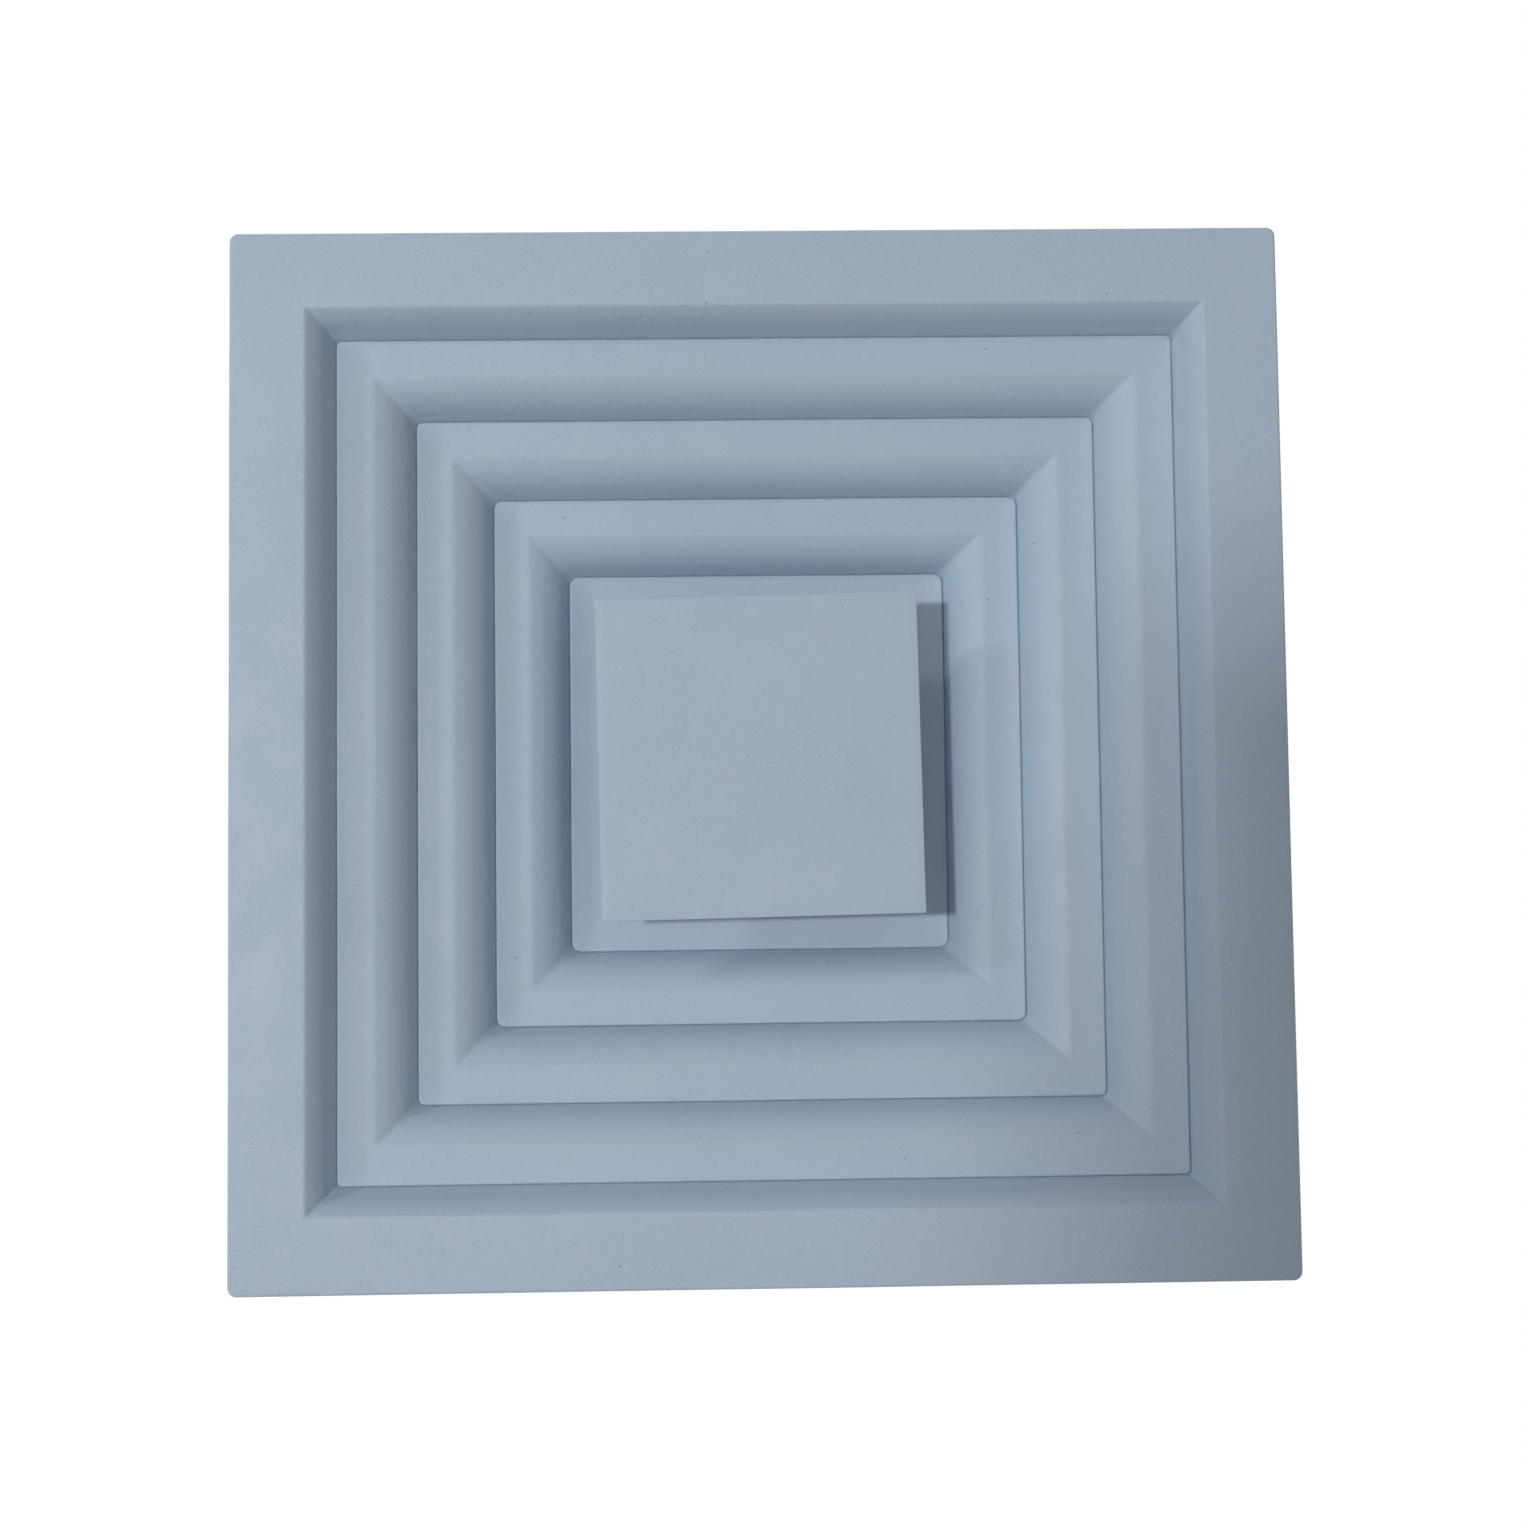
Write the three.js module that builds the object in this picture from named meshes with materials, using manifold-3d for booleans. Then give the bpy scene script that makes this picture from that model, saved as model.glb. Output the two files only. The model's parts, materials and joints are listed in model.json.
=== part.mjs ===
// Square ceiling air diffuser: a flanged frame with a square neck, and a removable core of four nested
// cones on two cross bars, with a centre plate that screws up and down a threaded spindle.
// Millimetres, +Z up into the ceiling. The origin is the middle of the opening, level with the ceiling.

import * as THREE from "three";
import { mergeVertices } from "three/addons/utils/BufferGeometryUtils.js";
import Module from "manifold-3d";

const wasm = await Module();
wasm.setup();

// ---- Driving dimensions ----------------------------------------------------------------------------

const GAP = 0.2; // clearance left between pieces that touch
const CUT_MARGIN = 3; // how far a hole's cutter reaches past the sheet
const SMALLEST_CORNER = 0.3; // in plan
const CORNER_STEPS = 4; // facets in each rounded corner in plan
const LONG_BEND_STEPS = 5; // facets in the long bend of a cone's slope
const BEND_STEPS = 2; // facets in any other bend of a sheet
const RIVET_STEPS = 8; // facets round a rivet and its hole
const CATCH_STEPS = 12; // facets round a spring plunger and its barrel
const SHAFT_STEPS = 20; // facets round the spindle, its sleeve and its washers

const FACE_SIZE = 595; // overall width, for a 600 mm ceiling module
const OPENING_SIZE = 510; // width of the opening in the flange
const FLANGE_DROP = 6; // visible face of the flange below the ceiling
const FRAME_SHEET = 1.2;
const FACE_CORNER = 5;
const FACE_BEND = 1.6; // radius of the bend round the flange's outer edge
const OPENING_BEND = 4; // radius of the bend round the opening
const WALL_START = THREE.MathUtils.degToRad(40); // the wall's slope next to the opening
const WALL_SLOPE = THREE.MathUtils.degToRad(66); // its slope further up
const WALL_BEND = 30; // radius of the bend between those two slopes
const WALL_BEND_STEPS = 3; // facets in that bend
const WALL_STRAIGHT = 0.4; // between the opening's bend and the wall's bend
const OPENING_CORNER = 0.6;
const UPSTAND_BEND = 6;
const UPSTAND_CORNER = 6.5;
const SEAM_GAP = 0.3; // between the frame's upstand and the collar round it
const NECK_SIZE = 448; // outside of the neck collar, for a 450 mm square duct
const NECK_SHEET = 1.2;
const NECK_BOTTOM = 65;
const NECK_TOP = 133;
const UPSTAND_TOP = 84;
const NECK_CORNER = 8;

const GASKET_WIDTH = 20;
const GASKET_INSET = 7; // from the flange's outer edge to the gasket
const GASKET_CORNER = 2;

const CONE_COUNT = 4;
const CONE_SIZE = 481; // outer width of the first cone's lip
const CONE_PITCH = 42.75; // from one lip's outer edge to the next one's
const CONE_FIRST_DEPTH = 20.5; // the first lip above the flange's face
const CONE_STEP = 22; // each further lip above the one outside it
const CONE_SHEET = 1;
const CONE_HEIGHT = 46; // from the lip to the top edge
const LIP_KNEE = 9.5; // from a lip's outer edge to the middle of its own gentle bend
const LIP_FLARE = THREE.MathUtils.degToRad(9); // how far the outer edge is tipped towards the room
const LIP_BEND = 105;
const CREASE_KNEE = 21; // from the outer edge to the crease where the slope starts
const CREASE_SLOPE = THREE.MathUtils.degToRad(20);
const CREASE_BEND = 12;
const CONE_KNEE = 35.1; // from the outer edge to the middle of the long bend
const CONE_SLOPE = THREE.MathUtils.degToRad(67);
const CONE_BEND = 26;
const HEM_WIDTH = 6; // the lip's outer edge is folded back on itself by this much
const TOP_FLANGE = 9; // turned-in flange along a cone's top edge
const FIRST_LIP_CORNER = 3;
const LIP_CORNER_GROWTH = 0.8;
const CREASE_CORNER = 1.5;
const CORNER_CLEARANCE = 0.3; // a slope's plan corner is this much rounder than the next lip's

const BAR_WIDTH = 24;
const BAR_SHEET = 2;
const PAD_INSIDE = 10; // a bar's pad reaches this far inside a cone's top edge
const PAD_OUTSIDE = 1;
const HUB_HALF = 38; // half length of the bars' level middle
const HUB_BOTTOM = 108;
const FOOT_FACE = 214; // outer face of a bar's turned-up foot, from the middle
const FOOT_TOP = 92;
const FOOT_BEND = 3.5;

const RIVET_SHANK = 1.9;
const RIVET_HOLE = 2.3;
const RIVET_HEAD = 4;
const RIVET_HEAD_HEIGHT = 1.5;
const RIVET_TAIL = 3;
const RIVET_TAIL_HEIGHT = 1.3;
const COLLAR_RIVET_SPREAD = 120; // from the middle of a neck side
const COLLAR_RIVET_HEIGHT = 73;

const CATCH_HEIGHT = 77; // axis of the spring plungers
const CATCH_HOLE = 4.4;
const CATCH_GAP = 0.3; // left round each moving part of a catch
const BARREL_LENGTH = 14; // behind the bar's foot
const BARREL_RADIUS = 4;
const BARREL_BORE = 1.7; // round the stem
const BARREL_MOUTH = 2.7; // round the nose
const BARREL_FLANGE_RADIUS = 6.5;
const BARREL_FLANGE_HEIGHT = 2; // out from the foot's face
const BARREL_CHAMFER = 0.5;
const CHAMBER_RADIUS = 3.5;
const CHAMBER_FLOOR = 3;
const CHAMBER_INSET = 1; // from the foot's face to the chamber's outer end
const PLUNGER_TRAVEL = 4;
const NOSE_RADIUS = 2.3;
const STEM_RADIUS = 1.3;
const STOP_RADIUS = 3.1; // collar that stops the plunger in the barrel
const STOP_HEIGHT = 1.5;
const KNOB_RADIUS = 3.6;
const KNOB_LENGTH = 4;
const KNOB_CHAMFER = 0.8;
const KNOB_GAP = 0.4;
const SPRING_INSIDE = 1.9;
const SPRING_OUTSIDE = 2.9;

const PLATE_SIZE = 185.6;
const PLATE_DEPTH = 29.5; // the plate's face above the flange's face
const PLATE_SHEET = 2;
const PLATE_CORNER = 0.6;
const PLATE_CHAMFER = 0.35;
const PLATE_TURN = THREE.MathUtils.degToRad(-0.85); // where the plate was left on its thread

const SPINDLE_RADIUS = 4;
const SPINDLE_BOTTOM = 45.75;
const SPINDLE_TOP = 128;
const SPINDLE_CHAMFER = 0.8;
const BORE_RADIUS = 4.3;
const BAR_BORE_RADIUS = 4.5;
const SLEEVE_RADIUS = 7;
const SLEEVE_FLANGE_RADIUS = 20;
const SLEEVE_FLANGE_HEIGHT = 3;
const SLEEVE_FILLET = 1.5;
const SLEEVE_TOP = 65;
const NUT_FLATS = 13;
const NUT_HEIGHT = 6.5;
const WASHER_HEIGHT = 1.6;
const WASHER_RADIUS = 9;

// ---- Materials -------------------------------------------------------------------------------------

const powderCoat = new THREE.MeshStandardMaterial({ color: 0xc9d3de, roughness: 0.6, metalness: 0 });
const galvanised = new THREE.MeshStandardMaterial({ color: 0xa9adb0, roughness: 0.45, metalness: 0.9 });
const zincPlate = new THREE.MeshStandardMaterial({ color: 0xb9bcc0, roughness: 0.35, metalness: 1 });
const rivetAlloy = new THREE.MeshStandardMaterial({ color: 0xc2c4c6, roughness: 0.4, metalness: 1 });
const foam = new THREE.MeshStandardMaterial({ color: 0x2b2c2e, roughness: 0.95, metalness: 0 });
const nylon = new THREE.MeshStandardMaterial({ color: 0xe8e6de, roughness: 0.5, metalness: 0 });
const springSteel = new THREE.MeshStandardMaterial({ color: 0x8d9094, roughness: 0.3, metalness: 1 });

// ---- Geometry helpers ------------------------------------------------------------------------------

const diffuser = new THREE.Group();

function addMesh(name, geometry, material, parent = diffuser) {
  const mesh = new THREE.Mesh(geometry, material);
  mesh.name = name;
  parent.add(mesh);
  return mesh;
}

// Merges shared corners and drops the triangles that a lathe or a cap leaves with no area.
function welded(geometry) {
  const bare = geometry.clone();
  bare.deleteAttribute("normal");
  bare.deleteAttribute("uv");
  const merged = mergeVertices(bare, 1e-4);
  const index = merged.getIndex().array;
  const kept = [];
  for (let i = 0; i < index.length; i += 3) {
    const [a, b, c] = [index[i], index[i + 1], index[i + 2]];
    if (a !== b && b !== c && c !== a) kept.push(a, b, c);
  }
  merged.setIndex(kept);
  return merged;
}

function signedVolume(geometry) {
  const position = geometry.getAttribute("position");
  const index = geometry.getIndex().array;
  const [a, b, c] = [new THREE.Vector3(), new THREE.Vector3(), new THREE.Vector3()];
  let volume = 0;
  for (let i = 0; i < index.length; i += 3) {
    a.fromBufferAttribute(position, index[i]);
    b.fromBufferAttribute(position, index[i + 1]);
    c.fromBufferAttribute(position, index[i + 2]);
    volume += a.dot(b.cross(c)) / 6;
  }
  return volume;
}

// Welds a closed surface and turns its faces outwards.
function solid(geometry) {
  const merged = welded(geometry);
  if (signedVolume(merged) < 0) {
    merged.setIndex(Array.from(merged.getIndex().array).reverse());
  }
  merged.computeVertexNormals();
  return merged;
}

function toManifold(geometry) {
  const merged = solid(geometry);
  return new wasm.Manifold(new wasm.Mesh({
    numProp: 3,
    vertProperties: new Float32Array(merged.getAttribute("position").array),
    triVerts: new Uint32Array(merged.getIndex().array),
  }));
}

function cut(geometry, cutters) {
  let body = toManifold(geometry);
  for (const cutter of cutters) body = body.subtract(toManifold(cutter));
  const result = body.getMesh();
  const cutGeometry = new THREE.BufferGeometry();
  cutGeometry.setAttribute("position", new THREE.BufferAttribute(result.vertProperties, 3));
  cutGeometry.setIndex(new THREE.BufferAttribute(result.triVerts, 1));
  return solid(cutGeometry);
}

// A square outline with rounded corners, as points at one height.
function squareLoop({ half, z, corner }) {
  const radius = Math.max(corner, SMALLEST_CORNER);
  const points = [];
  for (let quarter = 0; quarter < 4; quarter += 1) {
    const middle = (quarter + 0.5) * Math.PI / 2;
    const x = Math.sign(Math.cos(middle)) * (half - radius);
    const y = Math.sign(Math.sin(middle)) * (half - radius);
    for (let step = 0; step <= CORNER_STEPS; step += 1) {
      const angle = (quarter + step / CORNER_STEPS) * Math.PI / 2;
      points.push([x + radius * Math.cos(angle), y + radius * Math.sin(angle), z]);
    }
  }
  return points;
}

// Skins a list of square loops. A ring joins the last loop to the first; a slab closes both ends.
function loft(stations, isRing) {
  const loops = stations.map(squareLoop);
  const count = loops[0].length;
  const vertices = loops.flat();
  const index = [];
  const spans = isRing ? loops.length : loops.length - 1;
  for (let row = 0; row < spans; row += 1) {
    const near = row * count;
    const far = ((row + 1) % loops.length) * count;
    for (let i = 0; i < count; i += 1) {
      const next = (i + 1) % count;
      index.push(near + i, near + next, far + next, near + i, far + next, far + i);
    }
  }
  if (!isRing) {
    for (let i = 1; i < count - 1; i += 1) {
      const last = (loops.length - 1) * count;
      index.push(0, i + 1, i, last, last + i, last + i + 1);
    }
  }
  const geometry = new THREE.BufferGeometry();
  geometry.setAttribute("position", new THREE.Float32BufferAttribute(vertices.flat(), 3));
  geometry.setIndex(index);
  return solid(geometry);
}

// Replaces each corner that has a bend radius by an arc. Stations are {half, z, corner, bend, steps}, and
// the plan corner grows to cornerAfter along the arc of a station that has one.
function bentPath(stations) {
  const path = [];
  stations.forEach((station, order) => {
    const before = stations[order - 1];
    const after = stations[order + 1];
    if (!station.bend || !before || !after) {
      path.push(station);
      return;
    }
    const here = new THREE.Vector2(station.half, station.z);
    const back = new THREE.Vector2(before.half, before.z).sub(here).normalize();
    const ahead = new THREE.Vector2(after.half, after.z).sub(here).normalize();
    const turn = Math.PI - Math.acos(back.dot(ahead));
    const reach = station.bend / Math.cos(turn / 2);
    const centre = back.clone().add(ahead).normalize().multiplyScalar(reach).add(here);
    const tangent = station.bend * Math.tan(turn / 2);
    const start = back.clone().multiplyScalar(tangent).add(here).sub(centre);
    const finish = ahead.clone().multiplyScalar(tangent).add(here).sub(centre);
    const sweep = Math.sign(start.cross(finish)) * turn;
    const steps = station.steps ?? BEND_STEPS;
    for (let step = 0; step <= steps; step += 1) {
      const spoke = start.clone().rotateAround(new THREE.Vector2(), sweep * step / steps);
      const corner = THREE.MathUtils.lerp(station.corner, station.cornerAfter ?? station.corner, step / steps);
      path.push({ half: centre.x + spoke.x, z: centre.y + spoke.y, corner });
    }
  });
  return path;
}

// The hidden side of a sheet: the path moved sideways by the sheet's thickness.
function offsetPath(path, thickness) {
  const normals = path.slice(1).map((point, i) => {
    const along = new THREE.Vector2(point.half - path[i].half, point.z - path[i].z).normalize();
    return new THREE.Vector2(along.y, -along.x);
  });
  return path.map((point, i) => {
    const first = normals[Math.max(i - 1, 0)];
    const second = normals[Math.min(i, normals.length - 1)];
    const shift = first.clone().add(second).multiplyScalar(thickness / (1 + first.dot(second)));
    return { half: point.half + shift.x, z: point.z + shift.y, corner: point.corner + shift.x };
  });
}

// A square ring of bent sheet. The visible path runs from its outer edge inwards and up.
function sheetRing(stations, thickness) {
  const shown = bentPath(stations);
  const hidden = offsetPath(shown, thickness).reverse();
  return loft([...shown, ...hidden], true);
}

// The same, with the outer edge folded back on itself and pressed flat: a closed hem with a round nose.
function hemmedSheetRing(stations, thickness) {
  const shown = bentPath(stations);
  const hidden = offsetPath(shown, thickness).reverse();
  const edge = shown[0];
  const along = new THREE.Vector2(shown[1].half - edge.half, shown[1].z - edge.z).normalize();
  const hemPoint = (inset, rise) => {
    const shift = (along.x * inset + along.y * rise) * thickness;
    const lift = (along.y * inset - along.x * rise) * thickness;
    return { half: edge.half + shift, z: edge.z + lift, corner: edge.corner + shift };
  };
  const hemEnd = HEM_WIDTH / thickness;
  shown[0] = hemPoint(1, 0);
  hidden[hidden.length - 1] = hemPoint(hemEnd, 1);
  const nose = [[hemEnd, 2], [1, 2], [0.3, 1.7], [0, 1], [0.3, 0.3]];
  return loft([...shown, ...hidden, ...nose.map((place) => hemPoint(...place))], true);
}

function lathe(profile, steps = SHAFT_STEPS) {
  const points = profile.map(([radius, height]) => new THREE.Vector2(radius, height));
  return solid(new THREE.LatheGeometry(points, steps).rotateX(Math.PI / 2));
}

function washerShape(inner, outer, bottom, height) {
  const top = bottom + height;
  return lathe([[inner, bottom], [outer, bottom], [outer, top], [inner, top], [inner, bottom]]);
}

function pegCutter(radius, bottom, top, steps = RIVET_STEPS) {
  const peg = new THREE.CylinderGeometry(radius, radius, top - bottom, steps);
  return peg.rotateX(Math.PI / 2).translate(0, 0, (top + bottom) / 2);
}

// ---- Frame, gasket and neck collar -----------------------------------------------------------------

const flangeFace = -FLANGE_DROP;
const faceHalf = FACE_SIZE / 2;
const openingHalf = OPENING_SIZE / 2;
const collarInside = NECK_SIZE / 2 - NECK_SHEET;
const upstandInside = collarInside - SEAM_GAP - FRAME_SHEET;

// Where the wall's two slopes meet: its first slope is just long enough for the bends at both of its ends.
const wallBendReach = WALL_BEND * Math.tan((WALL_SLOPE - WALL_START) / 2);
const wallStartLength = OPENING_BEND * Math.tan(WALL_START / 2) + WALL_STRAIGHT + wallBendReach;
const wallKneeHalf = openingHalf - wallStartLength * Math.cos(WALL_START);
const wallKneeHeight = flangeFace + wallStartLength * Math.sin(WALL_START);
const wallTop = wallKneeHeight + (wallKneeHalf - upstandInside) * Math.tan(WALL_SLOPE);

// The four sides of the square, as turns about Z.
const sides = ["xp", "yp", "xn", "yn"].map((name, order) => ({ name, turn: order * Math.PI / 2 }));

function collarRivetHoles() {
  const holes = [];
  for (const side of sides) {
    for (const spread of [-COLLAR_RIVET_SPREAD, COLLAR_RIVET_SPREAD]) {
      const hole = pegCutter(RIVET_HOLE, upstandInside - CUT_MARGIN, NECK_SIZE / 2 + CUT_MARGIN);
      hole.rotateY(Math.PI / 2).translate(0, spread, COLLAR_RIVET_HEIGHT).rotateZ(side.turn);
      holes.push(hole);
    }
  }
  return holes;
}

function addFrame() {
  const frameSheet = sheetRing([
    { half: faceHalf, z: 0, corner: FACE_CORNER },
    { half: faceHalf, z: flangeFace, corner: FACE_CORNER, bend: FACE_BEND },
    { half: openingHalf, z: flangeFace, corner: OPENING_CORNER, bend: OPENING_BEND },
    { half: wallKneeHalf, z: wallKneeHeight, corner: OPENING_CORNER, bend: WALL_BEND, steps: WALL_BEND_STEPS },
    { half: upstandInside, z: wallTop, corner: UPSTAND_CORNER, bend: UPSTAND_BEND },
    { half: upstandInside, z: UPSTAND_TOP, corner: UPSTAND_CORNER },
  ], FRAME_SHEET);
  addMesh("frame", cut(frameSheet, collarRivetHoles()), powderCoat);
}

function addGasket() {
  const outer = faceHalf - GASKET_INSET;
  const inner = outer - GASKET_WIDTH;
  const bottom = flangeFace + FRAME_SHEET + GAP;
  const gasket = loft([
    { half: outer, z: bottom, corner: GASKET_CORNER },
    { half: outer, z: 0, corner: GASKET_CORNER },
    { half: inner, z: 0, corner: GASKET_CORNER },
    { half: inner, z: bottom, corner: GASKET_CORNER },
  ], true);
  addMesh("gasket", gasket, foam);
}

function addCollar() {
  const collarSheet = sheetRing([
    { half: collarInside, z: NECK_BOTTOM, corner: NECK_CORNER },
    { half: collarInside, z: NECK_TOP, corner: NECK_CORNER },
  ], NECK_SHEET);
  addMesh("neck_collar", cut(collarSheet, collarRivetHoles()), galvanised);
}

// A pop rivet along +Z through a grip that starts at height 0.
function rivetShape(grip) {
  const head = grip + GAP;
  return lathe([
    [0, -GAP - RIVET_TAIL_HEIGHT],
    [RIVET_TAIL, -GAP - RIVET_TAIL_HEIGHT * 0.6],
    [RIVET_TAIL, -GAP],
    [RIVET_SHANK, -GAP],
    [RIVET_SHANK, head],
    [RIVET_HEAD, head],
    [RIVET_HEAD * 0.7, head + RIVET_HEAD_HEIGHT * 0.8],
    [0, head + RIVET_HEAD_HEIGHT],
  ], RIVET_STEPS);
}

function addCollarRivets() {
  let number = 1;
  for (const side of sides) {
    for (const spread of [-COLLAR_RIVET_SPREAD, COLLAR_RIVET_SPREAD]) {
      const rivet = rivetShape(NECK_SIZE / 2 - upstandInside).rotateY(Math.PI / 2);
      rivet.translate(upstandInside, spread, COLLAR_RIVET_HEIGHT).rotateZ(side.turn);
      addMesh(`collar_rivet_${number}`, rivet, rivetAlloy);
      number += 1;
    }
  }
}

// ---- Cones -----------------------------------------------------------------------------------------

function coneFacts(order) {
  const outer = CONE_SIZE / 2 - order * CONE_PITCH;
  const lip = flangeFace + CONE_FIRST_DEPTH + order * CONE_STEP;
  const flat = lip + LIP_KNEE * Math.tan(LIP_FLARE);
  const kneeHeight = flat + (CONE_KNEE - CREASE_KNEE) * Math.tan(CREASE_SLOPE);
  const top = lip + CONE_HEIGHT;
  const topHalf = outer - CONE_KNEE - (top - kneeHeight) / Math.tan(CONE_SLOPE);
  const lipCorner = FIRST_LIP_CORNER + order * LIP_CORNER_GROWTH;
  const wallCorner = lipCorner + LIP_CORNER_GROWTH + CORNER_CLEARANCE;
  return { number: order + 1, outer, lip, flat, kneeHeight, top, topHalf, lipCorner, wallCorner };
}

const cones = Array.from({ length: CONE_COUNT }, (_, order) => coneFacts(order));

// Where a bar's rivet goes through a cone's top flange, from the middle.
const rivetHalf = (cone) => cone.topHalf - TOP_FLANGE / 2;

function addCones() {
  for (const cone of cones) {
    const sheet = hemmedSheetRing([
      { half: cone.outer, z: cone.lip, corner: cone.lipCorner },
      { half: cone.outer - LIP_KNEE, z: cone.flat, corner: cone.lipCorner, bend: LIP_BEND },
      { half: cone.outer - CREASE_KNEE, z: cone.flat, corner: CREASE_CORNER, bend: CREASE_BEND },
      {
        half: cone.outer - CONE_KNEE,
        z: cone.kneeHeight,
        corner: CREASE_CORNER,
        cornerAfter: cone.wallCorner,
        bend: CONE_BEND,
        steps: LONG_BEND_STEPS,
      },
      { half: cone.topHalf, z: cone.top, corner: cone.wallCorner },
      { half: cone.topHalf - TOP_FLANGE, z: cone.top, corner: cone.wallCorner },
    ], CONE_SHEET);
    const holes = sides.map((side) => {
      const hole = pegCutter(RIVET_HOLE, cone.top - CUT_MARGIN, cone.top + CONE_SHEET + CUT_MARGIN);
      return hole.translate(rivetHalf(cone), 0, 0).rotateZ(side.turn);
    });
    addMesh(`ring_${cone.number}`, cut(sheet, holes), powderCoat);
  }
}

// ---- Cross bars, hub and spindle -------------------------------------------------------------------

const padBottom = (cone) => cone.top + CONE_SHEET + GAP;
const upperHubBottom = HUB_BOTTOM + BAR_SHEET + GAP;

// The underside of half a bar, from the top of its foot in to the level middle.
function barHalfPath(hubBottom) {
  const path = [{ half: FOOT_FACE, z: FOOT_TOP }, { half: FOOT_FACE, z: padBottom(cones[0]), bend: FOOT_BEND }];
  cones.forEach((cone, order) => {
    if (order > 0) path.push({ half: cone.topHalf + PAD_OUTSIDE, z: padBottom(cone) });
    path.push({ half: cone.topHalf - PAD_INSIDE, z: padBottom(cone) });
  });
  path.push({ half: HUB_HALF, z: hubBottom });
  return path.map((point) => ({ ...point, corner: 0 }));
}

function barShape(hubBottom) {
  const half = bentPath(barHalfPath(hubBottom));
  const mirrored = half.map((point) => ({ ...point, half: -point.half })).reverse();
  const underside = [...half, ...mirrored];
  const topside = offsetPath(underside, BAR_SHEET).reverse();
  const outline = [...underside, ...topside].map((point) => new THREE.Vector2(point.half, point.z));
  const bar = new THREE.ExtrudeGeometry(new THREE.Shape(outline), { depth: BAR_WIDTH, bevelEnabled: false });
  return bar.translate(0, 0, -BAR_WIDTH / 2).rotateX(Math.PI / 2);
}

function barHoles() {
  const hubTop = upperHubBottom + BAR_SHEET;
  const holes = [pegCutter(BAR_BORE_RADIUS, HUB_BOTTOM - CUT_MARGIN, hubTop + CUT_MARGIN, SHAFT_STEPS)];
  for (const end of [0, Math.PI]) {
    for (const cone of cones) {
      const pad = padBottom(cone);
      const hole = pegCutter(RIVET_HOLE, pad - CUT_MARGIN / 2, pad + BAR_SHEET + CUT_MARGIN);
      holes.push(hole.translate(rivetHalf(cone), 0, 0).rotateZ(end));
    }
    const footInside = FOOT_FACE - BAR_SHEET;
    const catchHole = pegCutter(CATCH_HOLE, footInside - CUT_MARGIN, FOOT_FACE + CUT_MARGIN, CATCH_STEPS);
    holes.push(catchHole.rotateY(Math.PI / 2).translate(0, 0, CATCH_HEIGHT).rotateZ(end));
  }
  return holes;
}

function addCrossBars() {
  addMesh("cross_bar_x", cut(barShape(HUB_BOTTOM), barHoles()), zincPlate);
  const upper = cut(barShape(upperHubBottom), barHoles()).rotateZ(Math.PI / 2);
  addMesh("cross_bar_y", upper, zincPlate);
}

function addCoreRivets() {
  for (const cone of cones) {
    for (const side of sides) {
      const rivet = rivetShape(CONE_SHEET + GAP + BAR_SHEET);
      rivet.translate(rivetHalf(cone), 0, cone.top).rotateZ(side.turn);
      addMesh(`ring_${cone.number}_rivet_${side.name}`, rivet, rivetAlloy);
    }
  }
}

function nutShape(bottom) {
  const outline = new THREE.Shape();
  const cornerRadius = NUT_FLATS / 2 / Math.cos(Math.PI / 6);
  for (let side = 0; side < 6; side += 1) {
    const angle = side * Math.PI / 3;
    const place = [cornerRadius * Math.cos(angle), cornerRadius * Math.sin(angle)];
    if (side === 0) outline.moveTo(...place);
    else outline.lineTo(...place);
  }
  const hole = new THREE.Path();
  hole.absarc(0, 0, BORE_RADIUS, 0, Math.PI * 2, true);
  outline.holes.push(hole);
  const nut = new THREE.ExtrudeGeometry(outline, { depth: NUT_HEIGHT, bevelEnabled: false, curveSegments: 10 });
  return solid(nut.translate(0, 0, bottom));
}

function addSpindle() {
  addMesh("spindle", lathe([
    [0, SPINDLE_BOTTOM],
    [SPINDLE_RADIUS - SPINDLE_CHAMFER, SPINDLE_BOTTOM],
    [SPINDLE_RADIUS, SPINDLE_BOTTOM + SPINDLE_CHAMFER],
    [SPINDLE_RADIUS, SPINDLE_TOP - SPINDLE_CHAMFER],
    [SPINDLE_RADIUS - SPINDLE_CHAMFER, SPINDLE_TOP],
    [0, SPINDLE_TOP],
  ]), zincPlate);
  const washerAbove = upperHubBottom + BAR_SHEET + GAP;
  const washerBelow = HUB_BOTTOM - GAP - WASHER_HEIGHT;
  addMesh("hub_washer_upper", washerShape(BORE_RADIUS, WASHER_RADIUS, washerAbove, WASHER_HEIGHT), zincPlate);
  addMesh("hub_washer_lower", washerShape(BORE_RADIUS, WASHER_RADIUS, washerBelow, WASHER_HEIGHT), zincPlate);
  addMesh("hub_nut_upper", nutShape(washerAbove + WASHER_HEIGHT + GAP), zincPlate);
  addMesh("hub_nut_lower", nutShape(washerBelow - GAP - NUT_HEIGHT), zincPlate);
}

// ---- Centre plate and its threaded sleeve ----------------------------------------------------------

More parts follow.
